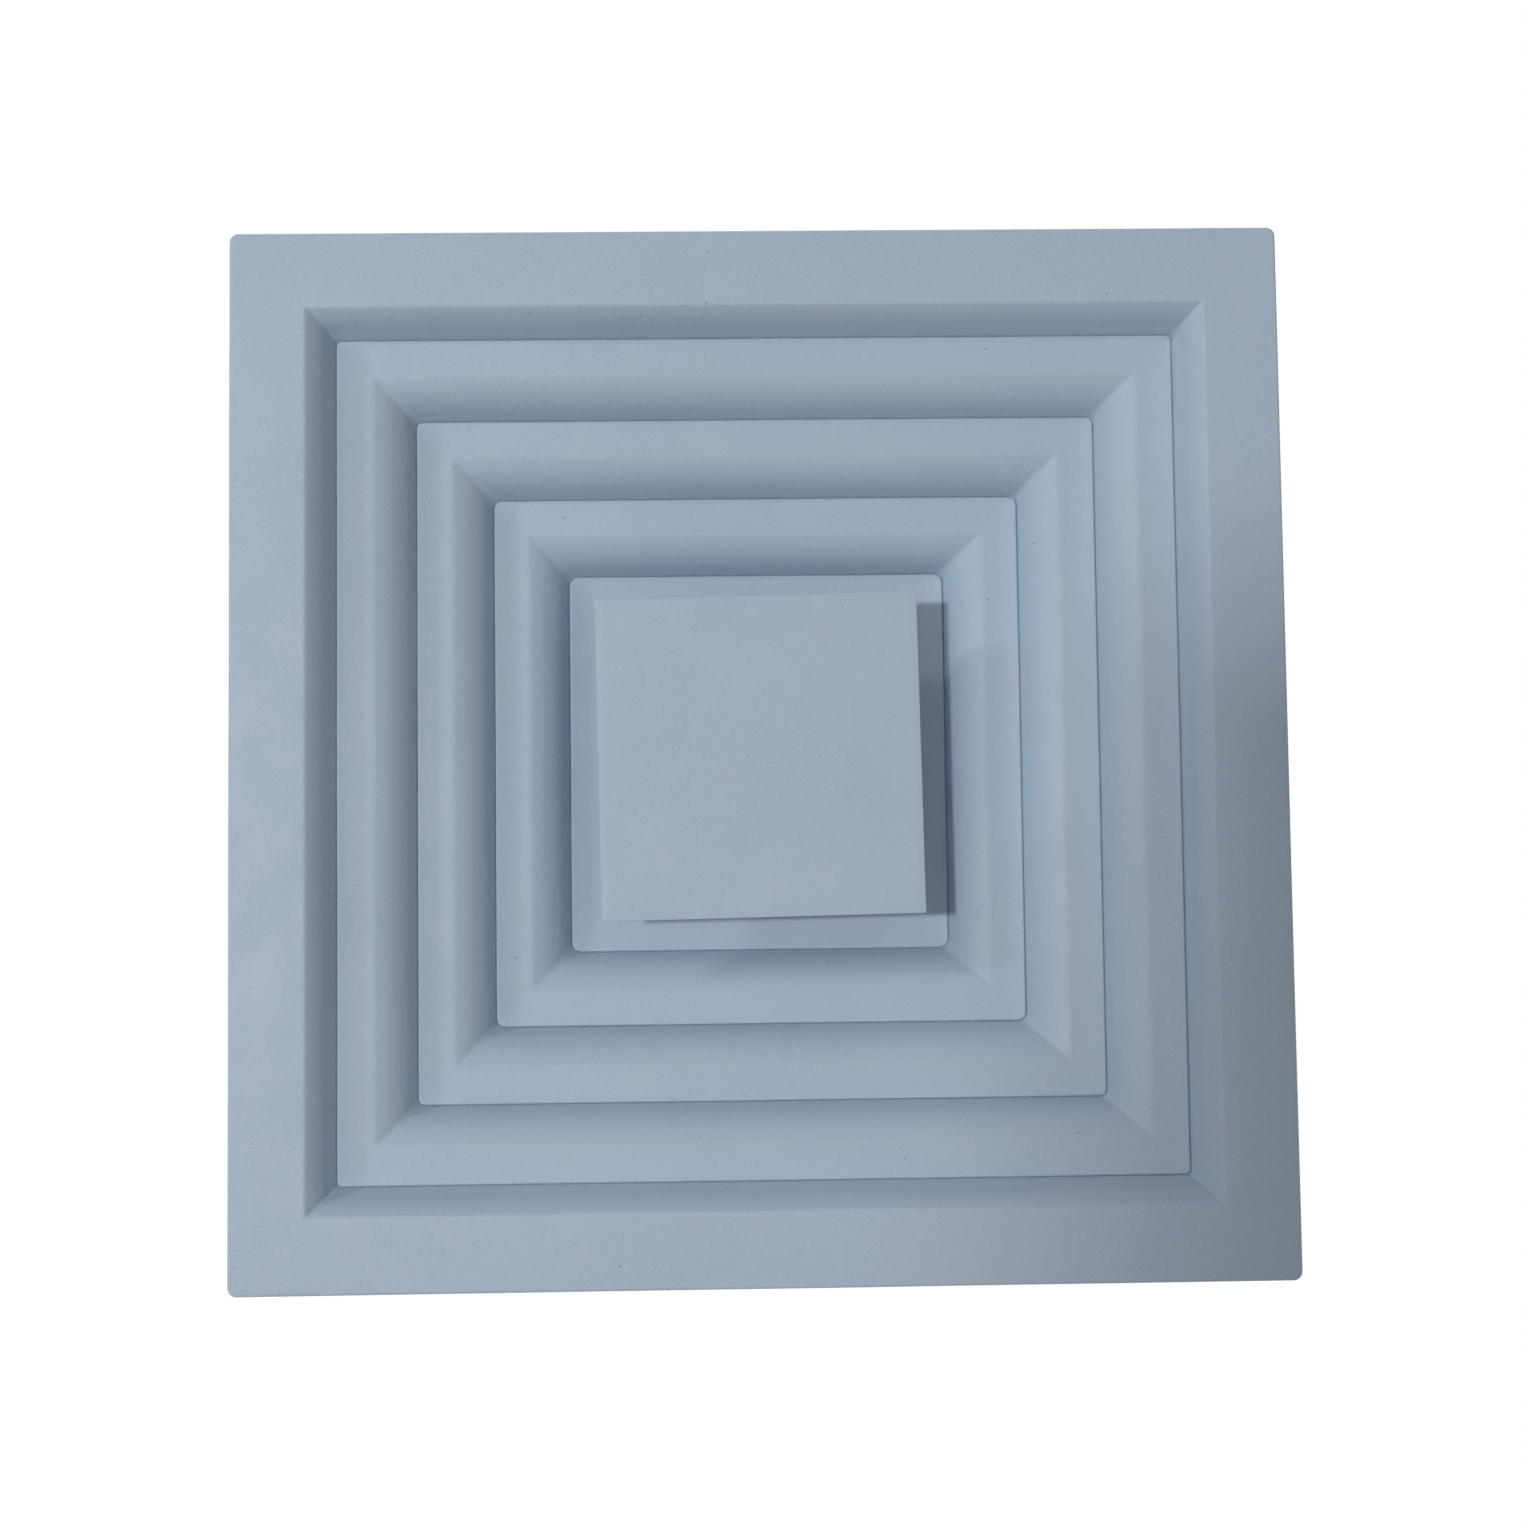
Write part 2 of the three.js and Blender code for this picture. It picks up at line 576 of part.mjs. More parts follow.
function addCentrePlate() {
  const turned = new THREE.Group();
  turned.rotation.z = PLATE_TURN;
  diffuser.add(turned);
  const half = PLATE_SIZE / 2;
  const face = flangeFace + PLATE_DEPTH;
  const back = face + PLATE_SHEET;
  const edge = PLATE_CHAMFER;
  addMesh("centre_plate", loft([
    { half: half - edge, z: face, corner: PLATE_CORNER },
    { half, z: face + edge, corner: PLATE_CORNER },
    { half, z: back - edge, corner: PLATE_CORNER },
    { half: half - edge, z: back, corner: PLATE_CORNER },
  ], false), powderCoat, turned);
  const foot = back + GAP;
  const flangeTop = foot + SLEEVE_FLANGE_HEIGHT;
  addMesh("plate_sleeve", lathe([
    [BORE_RADIUS, foot],
    [SLEEVE_FLANGE_RADIUS, foot],
    [SLEEVE_FLANGE_RADIUS, flangeTop],
    [SLEEVE_RADIUS + SLEEVE_FILLET, flangeTop],
    [SLEEVE_RADIUS, flangeTop + SLEEVE_FILLET],
    [SLEEVE_RADIUS, SLEEVE_TOP],
    [BORE_RADIUS, SLEEVE_TOP],
    [BORE_RADIUS, foot],
  ]), zincPlate, turned);
  const washerBottom = SLEEVE_TOP + GAP;
  const nutBottom = washerBottom + WASHER_HEIGHT + GAP;
  addMesh("thrust_washer", washerShape(BORE_RADIUS, WASHER_RADIUS, washerBottom, WASHER_HEIGHT), nylon, turned);
  addMesh("lock_nut", nutShape(nutBottom), zincPlate, turned);
}

// ---- Spring plungers that hold the core in the neck ------------------------------------------------

// Profiles run along the plunger's axis, as [radius, distance from the middle of the diffuser].
function catchProfiles() {
  const noseTip = upstandInside - CATCH_GAP;
  const barrelEnd = FOOT_FACE - BAR_SHEET - BARREL_LENGTH;
  const chamberEnd = barrelEnd + CHAMBER_FLOOR;
  const chamberMouth = FOOT_FACE - CHAMBER_INSET;
  const barrelFace = FOOT_FACE + BARREL_FLANGE_HEIGHT;
  const stopOuter = chamberMouth - CATCH_GAP;
  const stopInner = stopOuter - STOP_HEIGHT;
  const knobFace = barrelEnd - KNOB_GAP;
  const knobEnd = knobFace - KNOB_LENGTH;
  const springStart = chamberEnd + CATCH_GAP;
  const springEnd = stopInner - PLUNGER_TRAVEL - CATCH_GAP;
  const nose = [0, 30, 60, 90].map((degrees) => {
    const angle = THREE.MathUtils.degToRad(degrees);
    const along = noseTip - NOSE_RADIUS + NOSE_RADIUS * Math.sin(angle);
    return [degrees === 90 ? 0 : NOSE_RADIUS * Math.cos(angle), along];
  });
  return {
    barrel: [
      [BARREL_BORE, barrelEnd],
      [BARREL_RADIUS, barrelEnd],
      [BARREL_RADIUS, FOOT_FACE + GAP],
      [BARREL_FLANGE_RADIUS, FOOT_FACE + GAP],
      [BARREL_FLANGE_RADIUS, barrelFace - BARREL_CHAMFER],
      [BARREL_FLANGE_RADIUS - BARREL_CHAMFER, barrelFace],
      [BARREL_MOUTH, barrelFace],
      [BARREL_MOUTH, chamberMouth],
      [CHAMBER_RADIUS, chamberMouth],
      [CHAMBER_RADIUS, chamberEnd],
      [BARREL_BORE, chamberEnd],
      [BARREL_BORE, barrelEnd],
    ],
    plunger: [
      [0, knobEnd],
      [KNOB_RADIUS - KNOB_CHAMFER, knobEnd],
      [KNOB_RADIUS, knobEnd + KNOB_CHAMFER],
      [KNOB_RADIUS, knobFace],
      [STEM_RADIUS, knobFace],
      [STEM_RADIUS, stopInner],
      [STOP_RADIUS, stopInner],
      [STOP_RADIUS, stopOuter],
      [NOSE_RADIUS, stopOuter],
      ...nose,
    ],
    spring: [
      [SPRING_INSIDE, springStart],
      [SPRING_OUTSIDE, springStart],
      [SPRING_OUTSIDE, springEnd],
      [SPRING_INSIDE, springEnd],
      [SPRING_INSIDE, springStart],
    ],
  };
}

function addCatches() {
  const profiles = catchProfiles();
  for (const side of sides) {
    const axis = new THREE.Group();
    axis.rotation.set(0, Math.PI / 2, 0);
    axis.position.z = CATCH_HEIGHT;
    const spoke = new THREE.Group();
    spoke.rotation.z = side.turn;
    spoke.add(axis);
    diffuser.add(spoke);
    addMesh(`catch_barrel_${side.name}`, lathe(profiles.barrel, CATCH_STEPS), zincPlate, axis);
    addMesh(`catch_plunger_${side.name}`, lathe(profiles.plunger, CATCH_STEPS), nylon, axis);
    addMesh(`catch_spring_${side.name}`, lathe(profiles.spring, CATCH_STEPS), springSteel, axis);
  }
}

addFrame();
addGasket();
addCollar();
addCollarRivets();
addCones();
addCrossBars();
addCoreRivets();
addSpindle();
addCentrePlate();
addCatches();

export default diffuser;
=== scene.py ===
import json
import math
from collections import namedtuple

import bmesh
import bpy
from mathutils import Matrix, Vector, noise

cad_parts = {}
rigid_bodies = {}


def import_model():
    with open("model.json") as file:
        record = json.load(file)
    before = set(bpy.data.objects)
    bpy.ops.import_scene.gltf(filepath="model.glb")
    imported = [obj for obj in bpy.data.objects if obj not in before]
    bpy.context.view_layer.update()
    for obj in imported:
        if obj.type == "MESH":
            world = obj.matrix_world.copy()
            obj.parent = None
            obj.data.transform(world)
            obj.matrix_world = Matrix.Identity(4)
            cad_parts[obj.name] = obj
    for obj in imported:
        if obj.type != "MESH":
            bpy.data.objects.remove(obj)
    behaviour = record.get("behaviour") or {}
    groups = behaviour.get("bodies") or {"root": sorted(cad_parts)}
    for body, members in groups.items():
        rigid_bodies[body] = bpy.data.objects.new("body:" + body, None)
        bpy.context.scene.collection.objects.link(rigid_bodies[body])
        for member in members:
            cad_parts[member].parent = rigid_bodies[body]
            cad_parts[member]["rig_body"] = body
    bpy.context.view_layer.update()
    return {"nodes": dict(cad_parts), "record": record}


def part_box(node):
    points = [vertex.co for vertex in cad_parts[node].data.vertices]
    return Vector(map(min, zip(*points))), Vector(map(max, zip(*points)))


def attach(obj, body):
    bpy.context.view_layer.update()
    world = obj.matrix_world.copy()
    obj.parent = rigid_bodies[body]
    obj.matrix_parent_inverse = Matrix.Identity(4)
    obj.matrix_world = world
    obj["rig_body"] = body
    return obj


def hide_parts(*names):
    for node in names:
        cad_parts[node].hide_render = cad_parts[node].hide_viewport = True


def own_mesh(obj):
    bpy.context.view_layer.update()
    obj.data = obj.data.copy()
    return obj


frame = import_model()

# A square ceiling air diffuser, seen from below. Metres, +Z up into the ceiling, with the origin in the
# middle of the opening. Each CAD node is replaced by a finely made mesh of the same size and place.

scene = bpy.context.scene
NODE_BODY = {name: node["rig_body"] for name, node in frame["nodes"].items()}
NODE_SLOT = {part["node"]: part["material_slot"] for part in frame["record"]["subparts"]}
SIDES = {"xp": 0.0, "yp": math.pi / 2, "xn": math.pi, "yn": 3 * math.pi / 2}

# ---- Dimensions --------------------------------------------------------------------------------------

CORNER_STEPS = 8  # facets in a rounded corner in plan
SIDE_SPANS = 28  # divisions along each straight side, so that the sheet can ripple
BEND_STEPS = 12  # facets in a bend of a sheet
EDGE_STEPS = 6  # facets round the cut edge of a sheet
ROUND_STEPS = 48  # facets round a turned piece
SMOOTH_ANGLE = math.radians(38)

SMALLEST_CORNER = 0.0003

FRAME_SHEET = 0.0012
FACE_CORNER = 0.005
FACE_BEND = 0.0016
OPENING_HALF = 0.255
OPENING_BEND = 0.004
OPENING_CORNER = 0.0006
WALL_START = math.radians(40)  # the wall's slope next to the opening
WALL_SLOPE = math.radians(66)  # its slope further up
WALL_BEND = 0.030
WALL_STRAIGHT = 0.0004
UPSTAND_BEND = 0.006
UPSTAND_CORNER = 0.0065
SEAM_GAP = 0.0003

CONE_COUNT = 4
OUTER_HALF = 0.2405  # of the first cone's lip
CONE_PITCH = 0.04275
CONE_SHEET = 0.001
LIP_KNEE = 0.0095  # from a lip's outer edge to the middle of its own gentle bend
LIP_FLARE = math.radians(9)  # how far the outer edge is tipped towards the room
LIP_BEND = 0.105
CREASE_KNEE = 0.021  # from the outer edge to the crease where the slope starts
CREASE_SLOPE = math.radians(20)
CREASE_BEND = 0.012
CREASE_CORNER = 0.0015
CONE_KNEE = 0.0351  # from the outer edge to the middle of the long bend
CONE_SLOPE = math.radians(67)
CONE_BEND = 0.026
HEM_WIDTH = 0.006
HEM_BREAK = 0.4  # how much of the sheet's thickness is broken off the hem's end corner
TOP_FLANGE = 0.009
FIRST_LIP_CORNER = 0.003
LIP_CORNER_GROWTH = 0.0008
CORNER_CLEARANCE = 0.0003  # a slope's plan corner is this much rounder than the next lip's

FLANGE_BEND = 0.0008

GASKET_WIDTH = 0.020
FOAM_EDGE = 0.0014
FOAM_SPAN = 0.006
FOAM_WAVE = 0.0006
FOAM_JOINT = 0.0004

NECK_SHEET = 0.0012
NECK_CORNER = 0.008
COLLAR_RIVET_SPREAD = 0.120
COLLAR_RIVET_HEIGHT = 0.073
LAP_WIDTH = 0.020  # overlap where the collar's strip closes on itself
LAP_PLACE = -0.175
LAP_COLUMNS = 22
LAP_ROWS = 72
LAP_EDGE = 0.55  # share of the sheet's thickness left at the strip's softened edge
WELD_SHARES = (0.18, 0.5, 0.82)  # of the strip's height
WELD_RADIUS = 0.0026
WELD_DEPTH = 0.0005

PLATE_SIZE = 0.1856
PLATE_SHEET = 0.002
PLATE_CORNER = 0.0006
PLATE_EDGE = 0.0004
PLATE_TURN = math.radians(-0.85)

CLEARANCE = 0.0002
BAR_WIDTH = 0.024
BAR_SHEET = 0.002
BAR_EDGE = 0.0005
BAR_BEND = 0.0016
BAR_BORE = 0.0045
CUT_MARGIN = 0.003  # how far a hole's cutter reaches past the sheet
CATCH_HOLE = 0.0044
CATCH_HEIGHT = 0.077
HUB_HALF = 0.038
HUB_BOTTOM = 0.108
PAD_INSIDE = 0.010
PAD_OUTSIDE = 0.001
FOOT_BEND = 0.0035
FOOT_CORNER = 0.005
FOOT_FACE = 0.214
FOOT_TOP = 0.092

RIVET_SHANK = 0.0019
RIVET_HEAD = 0.004
RIVET_HEAD_HEIGHT = 0.0015
RIVET_TAIL = 0.003
RIVET_TAIL_HEIGHT = 0.0013
MANDREL = 0.0009  # radius of the broken stem in a blind rivet
BURR = 0.0001  # radius of an edge that is only deburred
BROKEN_EDGE = 0.0002
SOFT_EDGE = 0.0006

THREAD_PITCH = 0.00125
THREAD_DEPTH = 0.00062
THREAD_ROWS = 8  # rows of the mesh in each turn
THREAD_STEPS = 32
THREAD_CHAMFER = 0.0008
BORE = 0.0043
COUNTERSINK = 0.0005
NUT_FLATS = 0.013
NUT_STEPS = 72
NUT_CORNER = 0.00015
NUT_LAND = 0.95  # where the turned-off corners start, as a share of the way to a flat
SLEEVE_RADIUS = 0.007
SLEEVE_FLANGE_RADIUS = 0.020
SLEEVE_FLANGE_HEIGHT = 0.003
SLEEVE_FILLET = 0.0015

WIRE_RADIUS = 0.00035
COIL_RADIUS = 0.0024
COIL_TURNS = 7
CLOSED_COIL = 2.06  # pitch of a closed end coil, in wire radii
COIL_STEPS = 36
WIRE_STEPS = 12

RIPPLE = 0.00012  # how far a pressed sheet wanders from flat
RIPPLE_LENGTH = 0.11

# ---- Mesh helpers ------------------------------------------------------------------------------------

# A point of a profile: its plan corner grows to corner_after along its bend, if it has one.
Knot = namedtuple("Knot", "half z corner bend corner_after", defaults=(0.0, 0.0, None))


def turned(point, angle):
    """A 2D point turned about the origin."""
    cosine = math.cos(angle)
    sine = math.sin(angle)
    return Vector((point.x * cosine - point.y * sine, point.x * sine + point.y * cosine))


def fillet(knots, steps=BEND_STEPS):
    """The knots as a path, with each one that has a bend radius replaced by an arc."""
    path = []
    for order, knot in enumerate(knots):
        if not knot.bend:
            path.append(knot)
            continue
        here = Vector((knot.half, knot.z))
        back = (Vector(knots[order - 1][:2]) - here).normalized()
        ahead = (Vector(knots[(order + 1) % len(knots)][:2]) - here).normalized()
        turn = math.pi - back.angle(ahead)
        centre = here + (back + ahead).normalized() * (knot.bend / math.cos(turn / 2))
        tangent = knot.bend * math.tan(turn / 2)
        start = here + back * tangent - centre
        finish = here + ahead * tangent - centre
        sweep = math.copysign(turn, start.x * finish.y - start.y * finish.x)
        growth = 0.0 if knot.corner_after is None else knot.corner_after - knot.corner
        for step in range(steps + 1):
            spoke = turned(start, sweep * step / steps)
            corner = knot.corner + growth * step / steps
            path.append(Knot(centre.x + spoke.x, centre.y + spoke.y, corner))
    return path


def round_edge(start, finish, outward):
    """The points between the two ends of a half circle that bulges outward."""
    first = Vector(start[:2])
    centre = (first + Vector(finish[:2])) / 2
    spoke = first - centre
    arc = []
    for step in range(1, EDGE_STEPS):
        angle = math.pi * step / EDGE_STEPS
        point = centre + spoke * math.cos(angle) + outward * (spoke.length * math.sin(angle))
        arc.append(Knot(point.x, point.y, max(start.corner + point.x - start.half, SMALLEST_CORNER)))
    return arc


def moved(knot, inwards, up):
    """The knot moved towards the middle and up, with its plan corner kept concentric."""
    return Knot(knot.half - inwards, knot.z + up, max(knot.corner - inwards, SMALLEST_CORNER))


def beside(knot, line, inset, rise):
    """The knot moved along a line of its sheet and then across to the sheet's hidden side."""
    return moved(knot, -(line.x * inset + line.y * rise), line.y * inset - line.x * rise)


def directions(path):
    points = [Vector(knot[:2]) for knot in path]
    return [(b - a).normalized() for a, b in zip(points, points[1:])]


def offset_path(path, sheet):
    """The path of a sheet's other side."""
    lines = directions(path)
    hidden = []
    for order, knot in enumerate(path):
        first = lines[max(order - 1, 0)]
        second = lines[min(order, len(lines) - 1)]
        normal = Vector((first.y + second.y, -first.x - second.x))
        shift = normal * (sheet / (1 + first.dot(second)))
        corner = max(knot.corner + shift.x, SMALLEST_CORNER)
        hidden.append(Knot(knot.half + shift.x, knot.z + shift.y, corner))
    return hidden


def sheet_outline(path, sheet, hem=0.0):
    """The closed outline of a bent sheet, from its shown side's path. A hem folds the first edge back."""
    lines = directions(path)
    edge = path[0]
    hidden = offset_path(path, sheet)
    pull = sheet / 2
    last = lines[-1] * pull
    shown = list(path)
    shown[-1] = moved(path[-1], last.x, -last.y)
    hidden[-1] = moved(hidden[-1], last.x, -last.y)
    far_edge = round_edge(shown[-1], hidden[-1], lines[-1])
    if hem:
        shown[0] = beside(edge, lines[0], sheet, 0)
        hidden[0] = beside(edge, lines[0], hem, sheet)
        fold_start = beside(edge, lines[0], sheet, 2 * sheet)
        fold_side = beside(edge, lines[0], hem, (2 - HEM_BREAK) * sheet)
        fold_top = beside(edge, lines[0], hem - HEM_BREAK * sheet, 2 * sheet)
        nose = round_edge(fold_start, shown[0], -lines[0])
        near_edge = [fold_side, fold_top, fold_start, *nose]
    else:
        first = lines[0] * pull
        shown[0] = moved(path[0], -first.x, first.y)
        hidden[0] = moved(hidden[0], -first.x, first.y)
        near_edge = round_edge(hidden[0], shown[0], -lines[0])
    return shown + far_edge + hidden[::-1] + near_edge


def square_loop(knot):
    """Points round a level square with rounded corners; its sides are split into even spans."""
    centre = knot.half - knot.corner
    points = []
    for quarter in range(4):
        middle = (quarter + 0.5) * math.pi / 2
        x = math.copysign(centre, math.cos(middle))
        y = math.copysign(centre, math.sin(middle))
        for step in range(CORNER_STEPS + 1):
            angle = (quarter + step / CORNER_STEPS) * math.pi / 2
            across = knot.corner * math.cos(angle)
            along = knot.corner * math.sin(angle)
            points.append(Vector((x + across, y + along, knot.z)))
        leaving = points[-1]
        side_end = turned(Vector((knot.half, centre)), (quarter + 1) * math.pi / 2)
        arriving = Vector((side_end.x, side_end.y, knot.z))
        for span in range(1, SIDE_SPANS):
            points.append(leaving.lerp(arriving, span / SIDE_SPANS))
    return points


def rippled(point, amount, seed):
    """A point of a sheet moved by slow noise, the same way on both of its sides."""
    place = Vector((point.x, point.y, seed * 7.3)) / RIPPLE_LENGTH
    lift = noise.noise(place)
    push = noise.noise(place + Vector((31.7, 5.1, 11.9)))
    spread = 1 + push * amount / max(abs(point.x), abs(point.y), 0.02)
    return Vector((point.x * spread, point.y * spread, point.z + lift * amount))


def mesh_from(name, vertices, faces):
    """A mesh with its faces turned outwards, smooth except at its sharp edges."""
    mesh = bpy.data.meshes.new(name)
    mesh.from_pydata([tuple(v) for v in vertices], [], faces)
    work = bmesh.new()
    work.from_mesh(mesh)
    bmesh.ops.remove_doubles(work, verts=work.verts, dist=1e-7)
    bmesh.ops.recalc_face_normals(work, faces=work.faces)
    work.to_mesh(mesh)
    work.free()
    mesh.shade_smooth()
    mesh.set_sharp_from_angle(angle=SMOOTH_ANGLE)
    return mesh


def skin_data(loops, closed):
    """Quads between equal loops. A closed skin joins the last to the first; an open one is capped."""
    count = len(loops[0])
    vertices = [point for loop in loops for point in loop]
    faces = []
    spans = len(loops) if closed else len(loops) - 1
    for row in range(spans):
        near = row * count
        far = (row + 1) % len(loops) * count
        for i in range(count):
            after = (i + 1) % count
            faces.append((near + i, near + after, far + after, far + i))
    if not closed:
        for row in (0, len(loops) - 1):
            if (loops[row][0] - loops[row][1]).length > 1e-7:
                faces.append(tuple(range(row * count, (row + 1) * count)))
    return vertices, faces


def skin(name, loops, closed):
    return mesh_from(name, *skin_data(loops, closed))


def joined(shapes):
    """Several shapes' vertices and faces as one."""
    vertices = []
    faces = []
    for more_vertices, more_faces in shapes:
        first = len(vertices)
        vertices.extend(more_vertices)
        faces.extend(tuple(first + i for i in face) for face in more_faces)
    return vertices, faces


def sheet_ring(name, knots, sheet, seed, hem=0.0):
    """A square ring of bent sheet, given by the path of its shown side."""
    outline = sheet_outline(fillet(knots), sheet, hem)
    loops = [[rippled(point, RIPPLE, seed) for point in square_loop(knot)] for knot in outline]
    return skin(name, loops, True)


def lathe(name, knots, steps=ROUND_STEPS):
    """A turned piece along Z. The profile closes on itself, or starts and ends on the axis."""
    path = fillet(knots, 4)
    closed = path[0].half > 0
    loops = []
    for knot in path:
        angles = [math.tau * step / steps for step in range(steps)]
        loops.append([Vector((knot.half * math.cos(a), knot.half * math.sin(a), knot.z)) for a in angles])
    return skin(name, loops, closed)


def finish_piece(node, mesh):
    """Shows the mesh in place of a CAD node, on the node's body and with its material."""
    piece = bpy.data.objects.new(f"{node}_finished", mesh)
    scene.collection.objects.link(piece)
    mesh.materials.append(MATERIALS[NODE_SLOT[node]])
    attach(piece, NODE_BODY[node])
    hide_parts(node)
    return piece


# ---- Materials ---------------------------------------------------------------------------------------


class Shading:
    """Builds one node material."""

    def __init__(self, name):
        self.material = bpy.data.materials.new(name)
        self.material.use_nodes = True
        self.tree = self.material.node_tree
        self.shader = self.tree.nodes["Principled BSDF"]
        self.place = self.node("ShaderNodeTexCoord").outputs["Object"]

    def node(self, kind, **values):
        made = self.tree.nodes.new(kind)
        for key, value in values.items():
            setattr(made, key, value)
        return made

    def link(self, source, target):
        self.tree.links.new(source, target)

    def set(self, **values):
        for key, value in values.items():
            self.shader.inputs[key.replace("_", " ")].default_value = value

    def stretched(self, scale):
        """The object's coordinates, scaled by a different amount along each axis."""
        mapping = self.node("ShaderNodeMapping")
        mapping.inputs["Scale"].default_value = scale
        self.link(self.place, mapping.inputs["Vector"])
        return mapping.outputs["Vector"]

    def noise(self, size, detail=2.0, roughness=0.5, vector=None):
        """Noise whose features are about size metres across, from 0 to 1."""
        made = self.node("ShaderNodeTexNoise")
        made.inputs["Scale"].default_value = 1 / size
        made.inputs["Detail"].default_value = detail
        made.inputs["Roughness"].default_value = roughness
        self.link(vector or self.place, made.inputs["Vector"])
        return made.outputs["Fac"]

    def cells(self, size, output="Distance", feature="F1"):
        """Voronoi cells about size metres across."""
        made = self.node("ShaderNodeTexVoronoi", feature=feature)
        made.inputs["Scale"].default_value = 1 / size
        self.link(self.place, made.inputs["Vector"])
        return made.outputs[output]

    def mapped(self, value, low, high, to_low=0.0, to_high=1.0):
        """The value moved from one range to another and kept inside it."""
        made = self.node("ShaderNodeMapRange")
        self.link(value, made.inputs["Value"])
        for key, number in (("From Min", low), ("From Max", high), ("To Min", to_low), ("To Max", to_high)):
            made.inputs[key].default_value = number
        return made.outputs["Result"]

    def math(self, operation, first, second):
        made = self.node("ShaderNodeMath", operation=operation)
        for socket, value in zip(made.inputs, (first, second)):
            if isinstance(value, (int, float)):
                socket.default_value = value
            else:
                self.link(value, socket)
        return made.outputs["Value"]

    def mixed(self, share, first, second):
        """A mix of two colours, each a tuple or another node's output."""
        made = self.node("ShaderNodeMix", data_type="RGBA")
        self.link(share, made.inputs["Factor"])
        for key, colour in ((6, first), (7, second)):
            if isinstance(colour, tuple):
                made.inputs[key].default_value = (*colour, 1.0)
            else:
                self.link(colour, made.inputs[key])
        return made.outputs[2]

    def worn_and_highlit_edge(self, low, high, amount):
        """How much an edge is marked: by wear, and in the powder coat also by a painted highlight; most on
        sharp outer edges, broken up by noise.
        """
        edge = self.mapped(self.node("ShaderNodeNewGeometry").outputs["Pointiness"], low, high)
        patches = self.mapped(self.noise(0.006, 4.0, 0.6), 0.35, 0.65)
        return self.math("MULTIPLY", self.math("MULTIPLY", edge, patches), amount)

    def scratches(self, stretch, low, high, amount):
        """Thin marks along the direction the stretch is least in, kept to a few areas."""
        lines = self.mapped(self.noise(0.0011, 1.0, 0.4, self.stretched(stretch)), low, high)
        areas = self.mapped(self.noise(0.07, 2.0), 0.52, 0.66)
        return self.math("MULTIPLY", self.math("MULTIPLY", lines, areas), amount)

    def bumped(self, height, distance, normal=None):
        made = self.node("ShaderNodeBump")
        made.inputs["Distance"].default_value = distance
        self.link(height, made.inputs["Height"])
        if normal:
            self.link(normal, made.inputs["Normal"])
        return made.outputs["Normal"]

    def finish(self, colour=None, roughness=None, normal=None):
        for key, source in (("Base Color", colour), ("Roughness", roughness), ("Normal", normal)):
            if source:
                self.link(source, self.shader.inputs[key])
        return self.material


def powder_coat():
    """Matte pale blue-grey powder coat: orange peel, fine grain, dust nibs, mottling, light wear and a
    painted highlight on its convex edges.
    """
    paint = Shading("powder_coat")
    mottle = paint.mapped(paint.noise(0.09, 3.0), 0.35, 0.65)
    base = paint.mixed(mottle, (0.388, 0.487, 0.608), (0.415, 0.517, 0.640))
    grain = paint.mapped(paint.noise(0.0009, 2.0, 0.6), 0.35, 0.65)
    base = paint.mixed(grain, base, (0.448, 0.550, 0.671))
    nib = paint.mapped(paint.cells(0.024), 0.011, 0.026, 1.0, 0.0)
    base = paint.mixed(nib, base, (0.10, 0.12, 0.15))
    for stretch in ((0.03, 1.0, 1.0), (1.0, 0.03, 1.0)):
        base = paint.mixed(paint.scratches(stretch, 0.70, 0.78, 0.35), base, (0.54, 0.62, 0.72))
    # Convex edges are painted lighter: partly worn paint, partly a painted highlight where the edges catch
    # the light.
    edge_wear_and_highlight = paint.worn_and_highlit_edge(0.54, 0.62, 0.5)
    base = paint.mixed(edge_wear_and_highlight, base, (0.56, 0.65, 0.76))
    scuffs = paint.mapped(paint.noise(0.03, 4.0), 0.3, 0.7, 0.50, 0.62)
    roughness = paint.math("SUBTRACT", scuffs, paint.math("MULTIPLY", edge_wear_and_highlight, 0.25))
    peel = paint.bumped(paint.noise(0.0032, 2.0), 0.00016)
    fine = paint.bumped(paint.noise(0.0008, 1.0), 0.00005, peel)
    paint.set(IOR=1.5)
    return paint.finish(base, roughness, fine)


def galvanised_sheet():
    """Hot-dip zinc with a spangle of crystals that differ in tone and gloss."""
    steel = Shading("galvanised_sheet")
    crystal = steel.cells(0.011, "Color")
    tone = steel.node("ShaderNodeSeparateColor")
    steel.link(crystal, tone.inputs["Color"])
    streak = steel.noise(0.004, 4.0, 0.6, steel.stretched((1.0, 1.0, 0.25)))
    base = steel.mixed(tone.outputs["Red"], (0.46, 0.48, 0.50), (0.64, 0.66, 0.68))
    base = steel.mixed(steel.mapped(streak, 0.55, 0.75, 0.0, 0.45), base, (0.70, 0.71, 0.71))
    base = steel.mixed(steel.worn_and_highlit_edge(0.53, 0.60, 0.6), base, (0.78, 0.79, 0.80))
    base = steel.mixed(steel.scratches((1.0, 1.0, 0.04), 0.66, 0.76, 0.5), base, (0.40, 0.41, 0.42))
    roughness = steel.mapped(tone.outputs["Green"], 0.0, 1.0, 0.34, 0.56)
    normal = steel.bumped(steel.noise(0.0025, 3.0), 0.00012)
    steel.set(Metallic=0.92)
    return steel.finish(base, roughness, normal)


